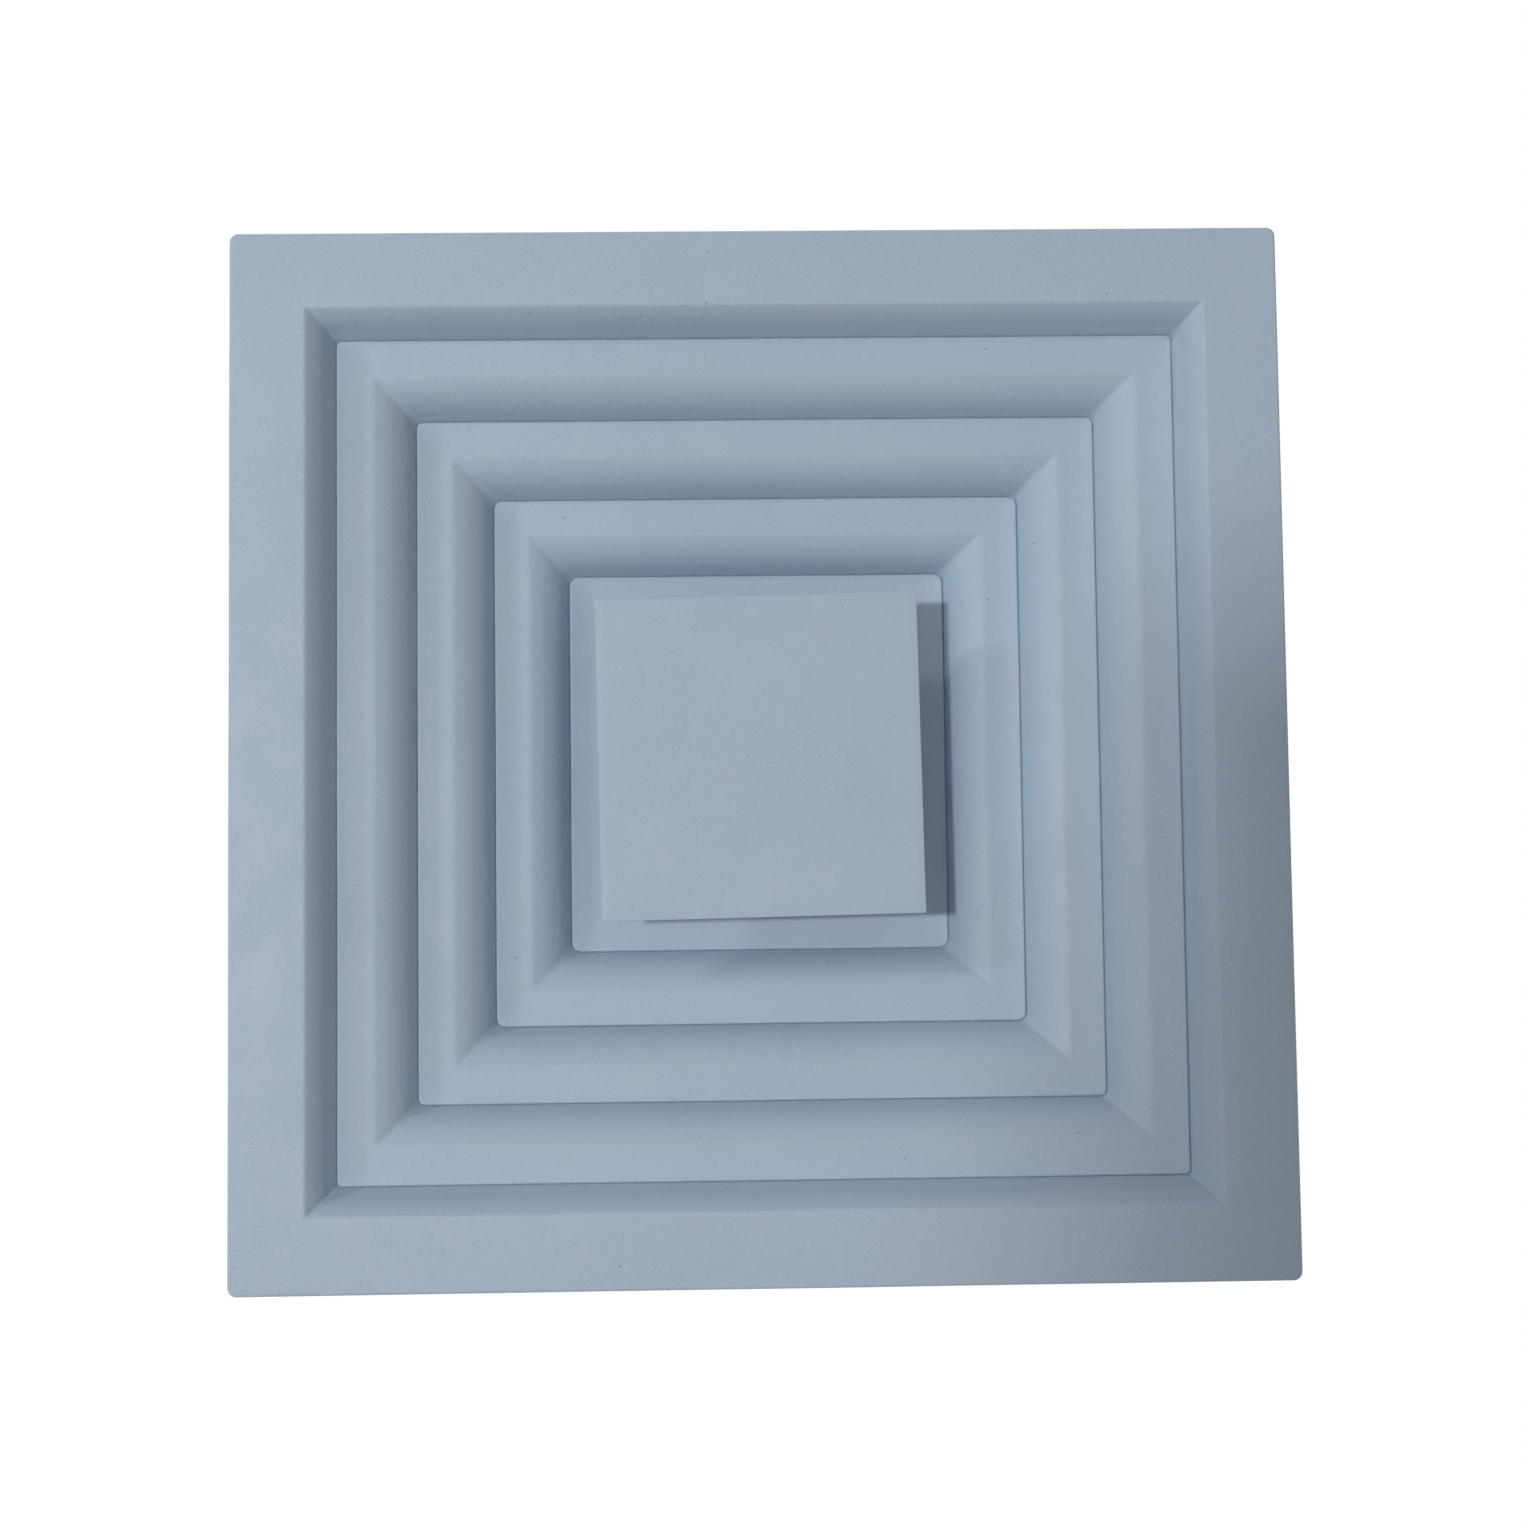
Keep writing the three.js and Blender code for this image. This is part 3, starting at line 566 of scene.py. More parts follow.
def zinc_plate():
    """Bright zinc plating with a faint blue and straw passivation and fine rolling lines."""
    zinc = Shading("zinc_plate")
    tint = zinc.mapped(zinc.noise(0.02, 3.0), 0.35, 0.65)
    base = zinc.mixed(tint, (0.60, 0.63, 0.68), (0.68, 0.665, 0.61))
    dull = zinc.mapped(zinc.noise(0.006, 4.0, 0.65), 0.5, 0.75, 0.0, 0.5)
    base = zinc.mixed(dull, base, (0.47, 0.48, 0.49))
    base = zinc.mixed(zinc.worn_and_highlit_edge(0.53, 0.62, 0.7), base, (0.80, 0.80, 0.80))
    base = zinc.mixed(zinc.scratches((0.04, 1.0, 1.0), 0.66, 0.76, 0.5), base, (0.42, 0.42, 0.43))
    roughness = zinc.mapped(zinc.noise(0.004, 4.0, 0.6), 0.3, 0.7, 0.22, 0.42)
    lines = zinc.noise(0.0012, 2.0, 0.5, zinc.stretched((0.3, 0.3, 2.0)))
    zinc.set(Metallic=1.0)
    return zinc.finish(base, roughness, zinc.bumped(lines, 0.00004))


def rivet_alloy():
    alloy = Shading("rivet_alloy")
    smear = alloy.mapped(alloy.noise(0.0018, 4.0, 0.6), 0.35, 0.7)
    base = alloy.mixed(smear, (0.72, 0.73, 0.74), (0.55, 0.56, 0.57))
    roughness = alloy.mapped(alloy.noise(0.001, 3.0), 0.3, 0.7, 0.28, 0.46)
    alloy.set(Metallic=1.0)
    return alloy.finish(base, roughness, alloy.bumped(alloy.noise(0.0006, 2.0), 0.00003))


def foam_strip():
    """Closed-cell foam: dark, matte and pitted with small pores."""
    foam = Shading("foam_strip")
    pores = foam.cells(0.0011)
    base = foam.mixed(foam.mapped(pores, 0.1, 0.7), (0.055, 0.056, 0.06), (0.022, 0.022, 0.025))
    dust = foam.mapped(foam.noise(0.015, 4.0), 0.55, 0.8, 0.0, 0.35)
    base = foam.mixed(dust, base, (0.12, 0.12, 0.115))
    roughness = foam.mapped(foam.noise(0.004), 0.3, 0.7, 0.85, 0.97)
    return foam.finish(base, roughness, foam.bumped(pores, 0.0005))


def moulded_nylon():
    nylon = Shading("moulded_nylon")
    cloud = nylon.mapped(nylon.noise(0.004, 3.0), 0.3, 0.7)
    base = nylon.mixed(cloud, (0.76, 0.74, 0.67), (0.80, 0.785, 0.73))
    base = nylon.mixed(nylon.worn_and_highlit_edge(0.54, 0.64, 0.6), base, (0.86, 0.85, 0.82))
    roughness = nylon.mapped(nylon.noise(0.002, 3.0), 0.3, 0.7, 0.38, 0.52)
    nylon.set(Subsurface_Weight=0.15, Subsurface_Scale=0.001)
    return nylon.finish(base, roughness, nylon.bumped(nylon.noise(0.0007, 2.0), 0.00004))


def spring_wire():
    wire = Shading("spring_wire")
    base = wire.mixed(wire.mapped(wire.noise(0.0015, 3.0), 0.3, 0.7), (0.40, 0.41, 0.43), (0.52, 0.53, 0.55))
    roughness = wire.mapped(wire.noise(0.0008, 3.0), 0.3, 0.7, 0.22, 0.38)
    wire.set(Metallic=1.0)
    return wire.finish(base, roughness, wire.bumped(wire.noise(0.0004, 2.0), 0.00002))


MATERIALS = {
    "paint": powder_coat(),
    "galvanised": galvanised_sheet(),
    "zinc": zinc_plate(),
    "rivet": rivet_alloy(),
    "foam": foam_strip(),
    "nylon": moulded_nylon(),
    "spring": spring_wire(),
}

# ---- Frame, gasket and neck collar -------------------------------------------------------------------

COLLAR_LOW, COLLAR_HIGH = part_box("neck_collar")
COLLAR_INSIDE = COLLAR_HIGH.x - NECK_SHEET
UPSTAND_INSIDE = COLLAR_INSIDE - SEAM_GAP - FRAME_SHEET


def make_frame():
    low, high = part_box("frame")
    face = low.z
    half = high.x
    bend_reach = WALL_BEND * math.tan((WALL_SLOPE - WALL_START) / 2)
    start_length = OPENING_BEND * math.tan(WALL_START / 2) + WALL_STRAIGHT + bend_reach
    knee_half = OPENING_HALF - start_length * math.cos(WALL_START)
    knee_height = face + start_length * math.sin(WALL_START)
    wall_top = knee_height + (knee_half - UPSTAND_INSIDE) * math.tan(WALL_SLOPE)
    finish_piece("frame", sheet_ring("frame", [
        Knot(half, 0.0, FACE_CORNER),
        Knot(half, face, FACE_CORNER, FACE_BEND),
        Knot(OPENING_HALF, face, OPENING_CORNER, OPENING_BEND),
        Knot(knee_half, knee_height, OPENING_CORNER, WALL_BEND),
        Knot(UPSTAND_INSIDE, wall_top, UPSTAND_CORNER, UPSTAND_BEND),
        Knot(UPSTAND_INSIDE, high.z, UPSTAND_CORNER),
    ], FRAME_SHEET, seed=1))


def foam_length(low, high, seed):
    """One straight length of foam with soft edges and slightly wavy faces, between its box's corners."""
    size = high - low
    spans = max(2, round(max(size.x, size.y) / FOAM_SPAN))
    along_x = size.x > size.y
    width = size.y if along_x else size.x
    length = size.x if along_x else size.y
    section = []
    for quarter in range(4):
        middle = (quarter + 0.5) * math.pi / 2
        across = math.copysign(width / 2 - FOAM_EDGE, math.cos(middle))
        rise = math.copysign(size.z / 2 - FOAM_EDGE, math.sin(middle))
        for step in range(EDGE_STEPS):
            angle = (quarter + step / (EDGE_STEPS - 1)) * math.pi / 2
            spoke = Vector((math.cos(angle), math.sin(angle)))
            section.append(Vector((across, rise)) + spoke * FOAM_EDGE)
    ends = [(0.0, 0.90), (FOAM_EDGE * 0.4, 0.98), (FOAM_EDGE, 1.0)]
    places = ends + [(length * span / spans, 1.0) for span in range(1, spans)]
    places += [(length - place, share) for place, share in reversed(ends)]
    middle = (low + high) / 2
    loops = []
    for place, share in places:
        loop = []
        for corner in section:
            thin = noise.noise(Vector((place * 60, corner.x * 90, seed + corner.y * 90))) * FOAM_WAVE
            across = corner.x * share * (1 - abs(thin) / width)
            rise = corner.y * share * (1 - abs(thin) / size.z * 2)
            along = place - length / 2
            flat = (along, across) if along_x else (-across, along)
            loop.append(Vector((middle.x + flat[0], middle.y + flat[1], middle.z + rise)))
        loops.append(loop)
    return skin_data(loops, False)


def make_gasket():
    """Four lengths of foam, each one's end butting against the side of the next."""
    low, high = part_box("gasket")
    outer = high.x
    inner = outer - GASKET_WIDTH
    shapes = []
    for order, angle in enumerate(SIDES.values()):
        near = turned(Vector((inner, -outer)), angle)
        far = turned(Vector((outer, inner - FOAM_JOINT)), angle)
        corner_low = Vector((min(near.x, far.x), min(near.y, far.y), low.z))
        corner_high = Vector((max(near.x, far.x), max(near.y, far.y), high.z))
        shapes.append(foam_length(corner_low, corner_high, order))
    finish_piece("gasket", mesh_from("gasket", *joined(shapes)))


def lap_strip():
    """The collar's overlapping end, outside the +Y side, with dimples where it is spot welded."""
    columns = LAP_COLUMNS
    rows = LAP_ROWS
    low = COLLAR_LOW.z + CLEARANCE
    height = COLLAR_HIGH.z - CLEARANCE - low
    near = COLLAR_HIGH.y - CLEARANCE
    welds = [Vector((LAP_PLACE, low + height * share)) for share in WELD_SHARES]
    vertices = []
    faces = []
    for row in range(rows + 1):
        for column in range(columns + 1):
            x = LAP_PLACE + LAP_WIDTH * (column / columns - 0.5)
            z = low + height * row / rows
            edge = min(column, columns - column, row, rows - row)
            depth = NECK_SHEET * (1.0 if edge > 0 else LAP_EDGE)
            for weld in welds:
                reach = (Vector((x, z)) - weld).length / WELD_RADIUS
                depth -= WELD_DEPTH * math.exp(-reach ** 4)
            vertices.append(Vector((x, near + depth, z)))
            vertices.append(Vector((x, near, z)))
    across = columns + 1

    def place(row, column, back):
        return 2 * (row * across + column) + back

    for row in range(rows):
        for column in range(columns):
            for back in (0, 1):
                faces.append((place(row, column, back), place(row, column + 1, back),
                              place(row + 1, column + 1, back), place(row + 1, column, back)))
    for row in range(rows):
        for column in (0, columns):
            faces.append((place(row, column, 0), place(row + 1, column, 0),
                          place(row + 1, column, 1), place(row, column, 1)))
    for column in range(columns):
        for row in (0, rows):
            faces.append((place(row, column, 0), place(row, column + 1, 0),
                          place(row, column + 1, 1), place(row, column, 1)))
    return vertices, faces


def make_collar():
    path = [Knot(COLLAR_INSIDE, COLLAR_LOW.z, NECK_CORNER), Knot(COLLAR_INSIDE, COLLAR_HIGH.z, NECK_CORNER)]
    outline = sheet_outline(path, NECK_SHEET)
    loops = [[rippled(point, RIPPLE / 2, 9) for point in square_loop(knot)] for knot in outline]
    finish_piece("neck_collar", mesh_from("neck_collar", *joined([skin_data(loops, True), lap_strip()])))


def rivet_mesh(name, grip, place):
    """A set blind rivet along +Z, with its mandrel broken off in the head. The grip starts at height 0."""
    foot = -CLEARANCE
    head = grip + CLEARANCE
    dome = head + RIVET_HEAD_HEIGHT
    tail = foot - RIVET_TAIL_HEIGHT
    mesh = lathe(name, [
        Knot(0, tail + MANDREL * 0.3),
        Knot(MANDREL * 0.7, tail),
        Knot(MANDREL * 1.3, tail, bend=0.0003),
        Knot(MANDREL * 1.5, tail + 0.0004, bend=BROKEN_EDGE),
        Knot(RIVET_TAIL * 0.8, tail + 0.0003, bend=SOFT_EDGE),
        Knot(RIVET_TAIL, foot - 0.0004, bend=0.0003),
        Knot(RIVET_SHANK, foot, bend=BURR),
        Knot(RIVET_SHANK, head),
        Knot(RIVET_HEAD, head, bend=BURR),
        Knot(RIVET_HEAD, head + 0.0004, bend=BROKEN_EDGE),
        Knot(RIVET_HEAD * 0.72, dome - 0.0003, bend=0.0012),
        Knot(MANDREL * 1.5, dome, bend=BROKEN_EDGE),
        Knot(MANDREL * 1.1, dome - 0.0005),
        Knot(MANDREL, dome - 0.0006),
        Knot(0, dome - 0.0005),
    ], 32)
    mesh.transform(place)
    return mesh


def make_collar_rivets():
    number = 1
    axis_out = Matrix.Rotation(math.pi / 2, 4, "Y")
    for angle in SIDES.values():
        for spread in (-COLLAR_RIVET_SPREAD, COLLAR_RIVET_SPREAD):
            spot = Matrix.Translation((UPSTAND_INSIDE, spread, COLLAR_RIVET_HEIGHT))
            place = Matrix.Rotation(angle, 4, "Z") @ spot @ axis_out
            name = f"collar_rivet_{number}"
            finish_piece(name, rivet_mesh(name, COLLAR_HIGH.x - UPSTAND_INSIDE, place))
            number += 1


# ---- Cones and centre plate --------------------------------------------------------------------------

Cone = namedtuple("Cone", "name outer lip flat knee_height top top_half lip_corner wall_corner rivet_half")


def cone_facts(order):
    name = f"ring_{order + 1}"
    low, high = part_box(name)
    outer = OUTER_HALF - order * CONE_PITCH
    lip = low.z - CONE_SHEET * math.sin(LIP_FLARE)
    flat = lip + LIP_KNEE * math.tan(LIP_FLARE)
    knee_height = flat + (CONE_KNEE - CREASE_KNEE) * math.tan(CREASE_SLOPE)
    top = high.z - CONE_SHEET
    top_half = outer - CONE_KNEE - (top - knee_height) / math.tan(CONE_SLOPE)
    lip_corner = FIRST_LIP_CORNER + order * LIP_CORNER_GROWTH
    wall_corner = lip_corner + LIP_CORNER_GROWTH + CORNER_CLEARANCE
    rivet_half = top_half - TOP_FLANGE / 2
    return Cone(name, outer, lip, flat, knee_height, top, top_half, lip_corner, wall_corner, rivet_half)


CONES = [cone_facts(order) for order in range(CONE_COUNT)]


def make_cones():
    for seed, cone in enumerate(CONES, 2):
        finish_piece(cone.name, sheet_ring(cone.name, [
            Knot(cone.outer, cone.lip, cone.lip_corner),
            Knot(cone.outer - LIP_KNEE, cone.flat, cone.lip_corner, LIP_BEND),
            Knot(cone.outer - CREASE_KNEE, cone.flat, CREASE_CORNER, CREASE_BEND),
            Knot(cone.outer - CONE_KNEE, cone.knee_height, CREASE_CORNER, CONE_BEND, cone.wall_corner),
            Knot(cone.top_half, cone.top, cone.wall_corner, FLANGE_BEND),
            Knot(cone.top_half - TOP_FLANGE, cone.top, cone.wall_corner),
        ], CONE_SHEET, seed, HEM_WIDTH))


def make_plate():
    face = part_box("centre_plate")[0].z
    half = PLATE_SIZE / 2
    edge = PLATE_EDGE
    back = face + PLATE_SHEET
    path = fillet([
        Knot(half - edge * 12, face, PLATE_CORNER),
        Knot(half, face, PLATE_CORNER, edge),
        Knot(half, back, PLATE_CORNER, edge),
        Knot(half - edge * 12, back, PLATE_CORNER),
    ], 4)
    mesh = skin("centre_plate", [square_loop(knot) for knot in path], False)
    mesh.transform(Matrix.Rotation(PLATE_TURN, 4, "Z"))
    finish_piece("centre_plate", mesh)


# ---- Cross bars and their rivets ---------------------------------------------------------------------


def pad_bottom(cone):
    return cone.top + CONE_SHEET + CLEARANCE


def bar_underside(hub_bottom):
    """The underside of a whole bar, from the top of one foot to the top of the other."""
    foot = [FOOT_TOP - FOOT_CORNER * (1 - math.cos(step * math.pi / 12)) for step in range(7)]
    half = [Knot(FOOT_FACE, z) for z in foot]
    half.append(Knot(FOOT_FACE, pad_bottom(CONES[0]), bend=FOOT_BEND))
    for order, cone in enumerate(CONES):
        if order:
            half.append(Knot(cone.top_half + PAD_OUTSIDE, pad_bottom(cone), bend=BAR_BEND))
        half.append(Knot(cone.top_half - PAD_INSIDE, pad_bottom(cone), bend=BAR_BEND))
    half.append(Knot(HUB_HALF, hub_bottom, bend=BAR_BEND))
    other = [knot._replace(half=-knot.half) for knot in reversed(half)]
    return fillet(half + other, 5)


def bar_section(half_width):
    """Points round the bar's section: across its width, and the share of the way through its thickness."""
    section = []
    for quarter in range(4):
        middle = (quarter + 0.5) * math.pi / 2
        across = math.copysign(half_width - BAR_EDGE, math.cos(middle))
        deep = BAR_SHEET / 2 + math.copysign(BAR_SHEET / 2 - BAR_EDGE, math.sin(middle))
        for step in range(4):
            angle = (quarter + step / 3) * math.pi / 2
            share = (deep + BAR_EDGE * math.sin(angle)) / BAR_SHEET
            section.append((across + BAR_EDGE * math.cos(angle), share))
    return section


def bored(mesh, cutters):
    """The mesh with the cutters' shapes taken out of it."""
    body = bpy.data.objects.new("uncut", mesh)
    scene.collection.objects.link(body)
    tools = []
    for cutter in cutters:
        tool = bpy.data.objects.new("cutter", cutter)
        scene.collection.objects.link(tool)
        tools.append(tool)
        cut = body.modifiers.new("cut", "BOOLEAN")
        cut.object = tool
        cut.solver = "EXACT"
    shown = body.evaluated_get(bpy.context.evaluated_depsgraph_get())
    result = bpy.data.meshes.new_from_object(shown)
    for spare in (body, *tools):
        bpy.data.objects.remove(spare)
    result.shade_smooth()
    result.set_sharp_from_angle(angle=SMOOTH_ANGLE)
    return result


def peg(radius, low, high, place):
    mesh = lathe("peg", [Knot(0, low), Knot(radius, low), Knot(radius, high), Knot(0, high)])
    mesh.transform(place)
    return mesh


def catch_place(angle):
    """Turns a shape made along Z onto the axis of the catch on one side."""
    lie_down = Matrix.Translation((0, 0, CATCH_HEIGHT)) @ Matrix.Rotation(math.pi / 2, 4, "Y")
    return Matrix.Rotation(angle, 4, "Z") @ lie_down


def make_bar(name, angle, hub_bottom):
    under = bar_underside(hub_bottom)
    over = offset_path(under, BAR_SHEET)
    loops = []
    for low, high in zip(under, over):
        above = low.z - (FOOT_TOP - FOOT_CORNER)
        in_foot = abs(low.half) > FOOT_FACE - BAR_SHEET and above > 0
        narrowing = FOOT_CORNER - math.sqrt(max(FOOT_CORNER ** 2 - above ** 2, 0)) if in_foot else 0
        near = Vector((low.half, 0, low.z))
        through = Vector((high.half, 0, high.z)) - near
        section = bar_section(BAR_WIDTH / 2 - narrowing)
        loops.append([near + through * share + Vector((0, across, 0)) for across, share in section])
    mesh = skin(name, loops, False)
    hub_top = hub_bottom + BAR_SHEET
    cutters = [peg(BAR_BORE, hub_bottom - CUT_MARGIN, hub_top + CUT_MARGIN, Matrix.Identity(4))]
    foot_back = FOOT_FACE - BAR_SHEET
    for end in (0, math.pi):
        cutters.append(peg(CATCH_HOLE, foot_back - CUT_MARGIN, FOOT_FACE + CUT_MARGIN, catch_place(end)))
    mesh = bored(mesh, cutters)
    mesh.name = name
    mesh.transform(Matrix.Rotation(angle, 4, "Z"))
    finish_piece(name, mesh)


def make_core_rivets():
    for cone in CONES:
        for side, angle in SIDES.items():
            name = f"{cone.name}_rivet_{side}"
            place = Matrix.Rotation(angle, 4, "Z") @ Matrix.Translation((cone.rivet_half, 0, cone.top))
            finish_piece(name, rivet_mesh(name, CONE_SHEET + CLEARANCE + BAR_SHEET, place))


# ---- Spindle, nuts and washers -----------------------------------------------------------------------


def make_spindle():
    """A threaded rod with chamfered ends."""
    low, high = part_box("spindle")
    radius = high.x
    rows = round((high.z - low.z) / THREAD_PITCH * THREAD_ROWS)
    loops = []
    for row in range(rows + 1):
        z = low.z + (high.z - low.z) * row / rows
        from_end = min(z - low.z, high.z - z)
        limit = radius - max(THREAD_CHAMFER - from_end, 0)
        loop = []
        for step in range(THREAD_STEPS):
            turn = step / THREAD_STEPS
            phase = (z / THREAD_PITCH - turn) % 1.0
            groove = min(max(abs(2 * phase - 1) * 1.45 - 0.25, 0), 1)
            reach = min(radius - THREAD_DEPTH * groove, limit)
            loop.append(Vector((reach * math.cos(turn * math.tau), reach * math.sin(turn * math.tau), z)))
        loops.append(loop)
    finish_piece("spindle", skin("spindle", loops, False))


def make_nut(name, angle=0.0):
    """A hexagon nut with its corners turned off at both ends and a countersunk bore."""
    low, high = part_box(name)
    corner = NUT_FLATS / 2 / math.cos(math.pi / 6)
    land = NUT_FLATS / 2 * NUT_LAND
    turned_off = [land + (corner - land) * step / 5 for step in range(6)]
    rows = [(BORE, low.z + COUNTERSINK), (BORE + COUNTERSINK, low.z)]
    rows += [(reach, low.z + (reach - land) * math.tan(math.pi / 6)) for reach in turned_off]
    rows += [(reach, high.z - (reach - land) * math.tan(math.pi / 6)) for reach in reversed(turned_off)]
    rows += [(BORE + COUNTERSINK, high.z), (BORE, high.z - COUNTERSINK)]
    loops = []
    for reach, z in rows:
        loop = []
        for step in range(NUT_STEPS):
            around = math.tau * step / NUT_STEPS
            flat = NUT_FLATS / 2 / math.cos(around % (math.pi / 3) - math.pi / 6)
            radius = min(reach, flat, corner - NUT_CORNER)
            loop.append(Vector((radius * math.cos(around), radius * math.sin(around), z)))
        loops.append(loop)
    mesh = skin(name, loops, True)
    mesh.transform(Matrix.Rotation(angle, 4, "Z"))
    finish_piece(name, mesh)


def make_washer(name):
    """A stamped washer: its upper edges are drawn in and its lower ones only broken."""
    low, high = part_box(name)
    radius = high.x
    finish_piece(name, lathe(name, [
        Knot(BORE, low.z, bend=BROKEN_EDGE),
        Knot(radius, low.z, bend=BROKEN_EDGE),
        Knot(radius, high.z, bend=SOFT_EDGE),
        Knot(BORE, high.z, bend=0.0004),
    ]))


def make_sleeve():
    """The plate's threaded sleeve, with its foot flange."""
    low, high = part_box("plate_sleeve")
    flange_top = low.z + SLEEVE_FLANGE_HEIGHT
    finish_piece("plate_sleeve", lathe("plate_sleeve", [
        Knot(BORE, low.z + COUNTERSINK),
        Knot(BORE + COUNTERSINK, low.z),
        Knot(SLEEVE_FLANGE_RADIUS, low.z, bend=0.0003),
        Knot(SLEEVE_FLANGE_RADIUS, flange_top, bend=SOFT_EDGE),
        Knot(SLEEVE_RADIUS, flange_top, bend=SLEEVE_FILLET),
        Knot(SLEEVE_RADIUS, high.z, bend=SOFT_EDGE),
        Knot(BORE + COUNTERSINK, high.z),
        Knot(BORE, high.z - COUNTERSINK),
    ], 64))


# ---- Spring plungers at the ends of the bars ---------------------------------------------------------

CATCH_GAP = 0.0003  # left round each moving part of a catch
BARREL_LENGTH = 0.014  # behind the bar's foot
BARREL_RADIUS = 0.004
BARREL_BORE = 0.0017  # round the stem
BARREL_MOUTH = 0.0027  # round the nose
BARREL_FLANGE_RADIUS = 0.0065
BARREL_FLANGE_HEIGHT = 0.002
CHAMBER_RADIUS = 0.0035
CHAMBER_FLOOR = 0.003
CHAMBER_INSET = 0.001
NOSE_RADIUS = 0.0023
NOSE_STEPS = 8
STEM_RADIUS = 0.0013
STOP_RADIUS = 0.0031
STOP_HEIGHT = 0.0015
KNOB_RADIUS = 0.0036
KNOB_LENGTH = 0.004
KNOB_GAP = 0.0004
KNOB_ROUND = 0.0009
KNOB_EDGE = 0.0003
GROOVE_PLACES = (0.0016, 0.0029)  # from the knob's end
GROOVE_SIZE = 0.0004

BARREL_END = FOOT_FACE - BAR_SHEET - BARREL_LENGTH
BARREL_FACE = FOOT_FACE + BARREL_FLANGE_HEIGHT
CHAMBER_END = BARREL_END + CHAMBER_FLOOR
CHAMBER_MOUTH = FOOT_FACE - CHAMBER_INSET
STOP_OUTER = CHAMBER_MOUTH - CATCH_GAP
STOP_INNER = STOP_OUTER - STOP_HEIGHT
NOSE_TIP = UPSTAND_INSIDE - CATCH_GAP
KNOB_FACE = BARREL_END - KNOB_GAP


def make_barrel(side):
    """A barrel that bears on its bar's foot with a flange, and holds the plunger's stop in a chamber."""
    name = f"catch_barrel_{side}"
    mesh = lathe(name, [
        Knot(BARREL_BORE, BARREL_END, bend=BROKEN_EDGE),
        Knot(BARREL_RADIUS, BARREL_END, bend=SOFT_EDGE),
        Knot(BARREL_RADIUS, FOOT_FACE + CLEARANCE),
        Knot(BARREL_FLANGE_RADIUS, FOOT_FACE + CLEARANCE, bend=BROKEN_EDGE),
        Knot(BARREL_FLANGE_RADIUS, BARREL_FACE, bend=SOFT_EDGE),
        Knot(BARREL_MOUTH, BARREL_FACE, bend=BROKEN_EDGE),
        Knot(BARREL_MOUTH, CHAMBER_MOUTH),
        Knot(CHAMBER_RADIUS, CHAMBER_MOUTH),
        Knot(CHAMBER_RADIUS, CHAMBER_END),
        Knot(BARREL_BORE, CHAMBER_END),
    ])
    mesh.transform(catch_place(SIDES[side]))
    finish_piece(name, mesh)


def make_plunger(side):
    """A moulded plunger: grip with two finger grooves, thin stem, stop and round nose."""
    name = f"catch_plunger_{side}"
    start = KNOB_FACE - KNOB_LENGTH
    knots = [Knot(0, start), Knot(KNOB_RADIUS, start, bend=KNOB_ROUND)]
    for groove in GROOVE_PLACES:
        knots.append(Knot(KNOB_RADIUS, start + groove - GROOVE_SIZE, bend=BURR))
        knots.append(Knot(KNOB_RADIUS - GROOVE_SIZE, start + groove, bend=BROKEN_EDGE))
        knots.append(Knot(KNOB_RADIUS, start + groove + GROOVE_SIZE, bend=BURR))
    knots += [
        Knot(KNOB_RADIUS, KNOB_FACE, bend=KNOB_EDGE),
        Knot(STEM_RADIUS, KNOB_FACE, bend=BURR),
        Knot(STEM_RADIUS, STOP_INNER, bend=BURR),
        Knot(STOP_RADIUS, STOP_INNER, bend=BURR),
        Knot(STOP_RADIUS, STOP_OUTER, bend=BURR),
        Knot(NOSE_RADIUS, STOP_OUTER),
    ]
    for step in range(NOSE_STEPS):
        angle = step / NOSE_STEPS * math.pi / 2
        along = NOSE_TIP - NOSE_RADIUS + NOSE_RADIUS * math.sin(angle)
        knots.append(Knot(NOSE_RADIUS * math.cos(angle), along))
    knots.append(Knot(0, NOSE_TIP))
    mesh = lathe(name, knots)
    mesh.transform(catch_place(SIDES[side]))
    finish_piece(name, mesh)


def make_spring(side):
    """A compression spring with closed end coils, on a mesh of its own."""
    start = CHAMBER_END + CATCH_GAP
    rest_length = STOP_INNER - start
    rise = rest_length - 2 * WIRE_RADIUS
    dead = CLOSED_COIL * WIRE_RADIUS
    steps = COIL_TURNS * COIL_STEPS
    loops = []
    for step in range(steps + 1):
        turns = step / COIL_STEPS
        if turns < 1:
            height = dead * turns
        elif turns > COIL_TURNS - 1:
            height = rise - dead * (COIL_TURNS - turns)
        else:
            height = dead + (rise - 2 * dead) * (turns - 1) / (COIL_TURNS - 2)
        angle = turns * math.tau
        loop = []
        for corner in range(WIRE_STEPS):
            around = math.tau * corner / WIRE_STEPS
            reach = COIL_RADIUS + WIRE_RADIUS * math.cos(around)
            z = start + WIRE_RADIUS + height + WIRE_RADIUS * math.sin(around)
            loop.append(Vector((reach * math.cos(angle), reach * math.sin(angle), z)))
        loops.append(loop)
    name = f"catch_spring_{side}"
    mesh = skin(name, loops, False)
    mesh.transform(catch_place(SIDES[side]))
    piece = finish_piece(name, mesh)
    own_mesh(piece)


# ---- Studio ------------------------------------------------------------------------------------------

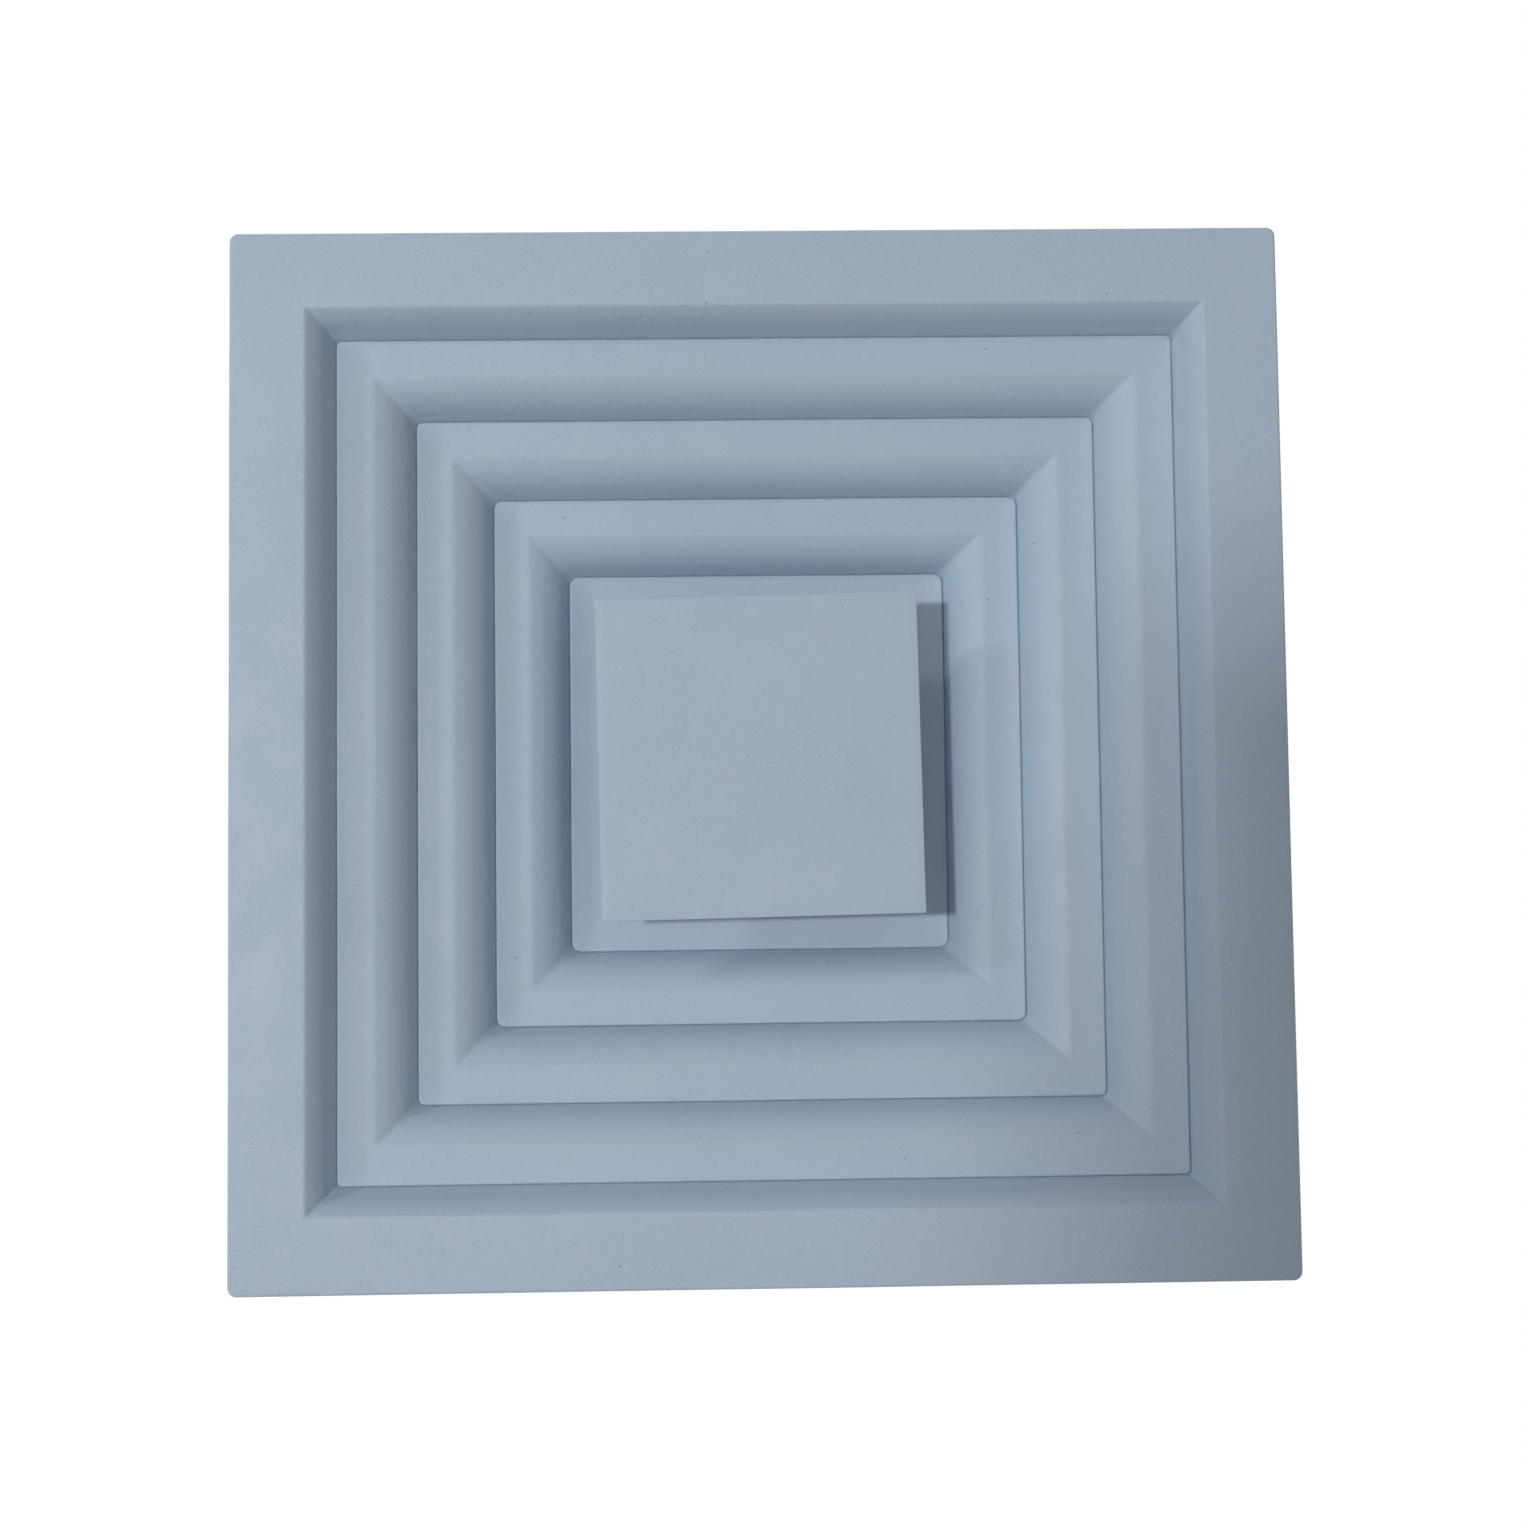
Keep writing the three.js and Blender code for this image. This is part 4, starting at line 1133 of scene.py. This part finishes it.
CAMERA_PLACE = Vector((-0.0236, 0.0825, -1.2381))
CAMERA_TARGET = Vector((0.0016, 0.0068, -0.006))
CAMERA_ROLL = math.radians(0.72)
CAMERA_LENS = 51.9
FLOOR_DEPTH = 4.6
FLOOR_SIZE = 16.0
KEY_PLACE = Vector((-0.39, -0.005, -0.92)).normalized() * 4.5
SECOND_PLACE = Vector((-0.77, -0.42, -0.49)).normalized() * 4.5
SHADE_START = Vector((0.234, -0.030, -0.006))  # the soft shadow's edge across the face
SHADE_END = Vector((0.188, 0.290, -0.006))
SHADE_NEAR = 0.42  # the card's distance from the face at that start, as a share of the way to the key light
SHADE_FAR = 0.52
SHADE_ENDS = (-0.25, 1.4)  # the card's edge runs past both ends, in shares of the way between them
CARD_REACH = Vector((0.93, 0.36, 0.0)) * 0.45  # from the edge that casts the shadow to the other one
WORLD_STRENGTH = 0.22
KEY_SIZE = 0.24
KEY_POWER = 82
SECOND_SIZE = 0.4
SECOND_POWER = 24.5
OVERHEAD_PLACE = Vector((0.3, -0.2, 5.0))
OVERHEAD_SIZE = 0.6
OVERHEAD_POWER = 100
SIDE_LIGHT_ANGLES = (0.5, 2.6, 4.7)
SIDE_LIGHT_DISTANCE = 4.0
SIDE_LIGHT_HEIGHT = 0.8
SIDE_LIGHT_SIZE = 1.6
SIDE_LIGHT_POWER = 40


def make_camera():
    """Looks up at the face, with the diffuser's -Y side towards the top of the picture."""
    camera = bpy.data.objects.new("camera", bpy.data.cameras.new("camera"))
    scene.collection.objects.link(camera)
    camera.data.lens = CAMERA_LENS
    forward = (CAMERA_TARGET - CAMERA_PLACE).normalized()
    right = forward.cross(Vector((0, -1, 0))).normalized()
    up = right.cross(forward)
    level = Matrix((right, up, -forward)).transposed().to_4x4()
    roll = Matrix.Rotation(-CAMERA_ROLL, 4, "Z")
    camera.matrix_world = Matrix.Translation(CAMERA_PLACE) @ level @ roll
    scene.camera = camera


def add_light(name, place, target, size, power):
    light = bpy.data.objects.new(name, bpy.data.lights.new(name, "AREA"))
    scene.collection.objects.link(light)
    light.data.shape = "DISK"
    light.data.size = size
    light.data.energy = power
    light.location = place
    direction = Vector(target) - Vector(place)
    light.rotation_mode = "QUATERNION"
    light.rotation_quaternion = direction.to_track_quat("-Z", "Y")
    light.visible_camera = False
    return light


def make_world():
    """A white background, which lights the object only softly."""
    world = bpy.data.worlds.new("studio")
    scene.world = world
    world.use_nodes = True
    tree = world.node_tree
    soft = tree.nodes["Background"]
    soft.inputs["Color"].default_value = (1, 1, 1, 1)
    soft.inputs["Strength"].default_value = WORLD_STRENGTH
    shown = tree.nodes.new("ShaderNodeBackground")
    shown.inputs["Color"].default_value = (1, 1, 1, 1)
    path = tree.nodes.new("ShaderNodeLightPath")
    mix = tree.nodes.new("ShaderNodeMixShader")
    tree.links.new(path.outputs["Is Camera Ray"], mix.inputs["Fac"])
    tree.links.new(soft.outputs[0], mix.inputs[1])
    tree.links.new(shown.outputs[0], mix.inputs[2])
    tree.links.new(mix.outputs[0], tree.nodes["World Output"].inputs["Surface"])


def make_floor():
    """A pale floor far below. It is seen pale, but it only sends back the light that falls on it."""
    half = FLOOR_SIZE / 2
    corners = [(-half, -half), (half, -half), (half, half), (-half, half)]
    mesh = bpy.data.meshes.new("floor")
    mesh.from_pydata([(x, y, -FLOOR_DEPTH) for x, y in corners], [], [(0, 1, 2, 3)])
    floor = bpy.data.objects.new("floor", mesh)
    scene.collection.objects.link(floor)
    plaster = Shading("floor")
    tone = plaster.mapped(plaster.noise(0.4, 4.0), 0.3, 0.7)
    colour = plaster.mixed(tone, (0.82, 0.82, 0.81), (0.86, 0.86, 0.85))
    shown = plaster.node("ShaderNodeEmission")
    plaster.link(colour, shown.inputs["Color"])
    path = plaster.node("ShaderNodeLightPath")
    mix = plaster.node("ShaderNodeMixShader")
    plaster.link(path.outputs["Is Camera Ray"], mix.inputs["Fac"])
    plaster.link(plaster.shader.outputs[0], mix.inputs[1])
    plaster.link(shown.outputs[0], mix.inputs[2])
    plaster.link(mix.outputs[0], plaster.tree.nodes["Material Output"].inputs["Surface"])
    mesh.materials.append(plaster.finish(colour))


def make_card():
    """A dark card beside the key light. It shades the face's corner, as someone standing there does."""
    edge = []
    for share in SHADE_ENDS:
        spot = SHADE_START.lerp(SHADE_END, share)
        edge.append(spot.lerp(KEY_PLACE, SHADE_NEAR + (SHADE_FAR - SHADE_NEAR) * share))
    mesh = bpy.data.meshes.new("card")
    corners = [edge[0], edge[1], edge[1] + CARD_REACH, edge[0] + CARD_REACH]
    mesh.from_pydata(corners, [], [(0, 1, 2, 3)])
    card = bpy.data.objects.new("card", mesh)
    scene.collection.objects.link(card)
    felt = Shading("card")
    tone = felt.mapped(felt.noise(0.01, 3.0), 0.3, 0.7)
    mesh.materials.append(felt.finish(felt.mixed(tone, (0.18, 0.18, 0.18), (0.22, 0.22, 0.22))))
    card.visible_camera = False


def make_lights():
    middle = Vector((0, 0, 0))
    add_light("key", KEY_PLACE, middle, KEY_SIZE, KEY_POWER)
    add_light("second", SECOND_PLACE, middle, SECOND_SIZE, SECOND_POWER)
    add_light("overhead", OVERHEAD_PLACE, middle, OVERHEAD_SIZE, OVERHEAD_POWER)
    for number, angle in enumerate(SIDE_LIGHT_ANGLES):
        around = Vector((math.cos(angle), math.sin(angle), 0)) * SIDE_LIGHT_DISTANCE
        place = around + Vector((0, 0, SIDE_LIGHT_HEIGHT))
        add_light(f"side_{number}", place, middle, SIDE_LIGHT_SIZE, SIDE_LIGHT_POWER)


make_camera()
make_world()
make_floor()
make_card()
make_lights()
make_frame()
make_gasket()
make_collar()
make_collar_rivets()
make_cones()
make_bar("cross_bar_x", 0.0, HUB_BOTTOM)
make_bar("cross_bar_y", math.pi / 2, HUB_BOTTOM + BAR_SHEET + CLEARANCE)
make_core_rivets()
make_spindle()
make_nut("hub_nut_upper")
make_nut("hub_nut_lower")
make_nut("lock_nut", PLATE_TURN)
make_washer("hub_washer_upper")
make_washer("hub_washer_lower")
make_washer("thrust_washer")
make_plate()
make_sleeve()
for catch_side in SIDES:
    make_barrel(catch_side)
    make_plunger(catch_side)
    make_spring(catch_side)

scene.view_settings.view_transform = "Standard"
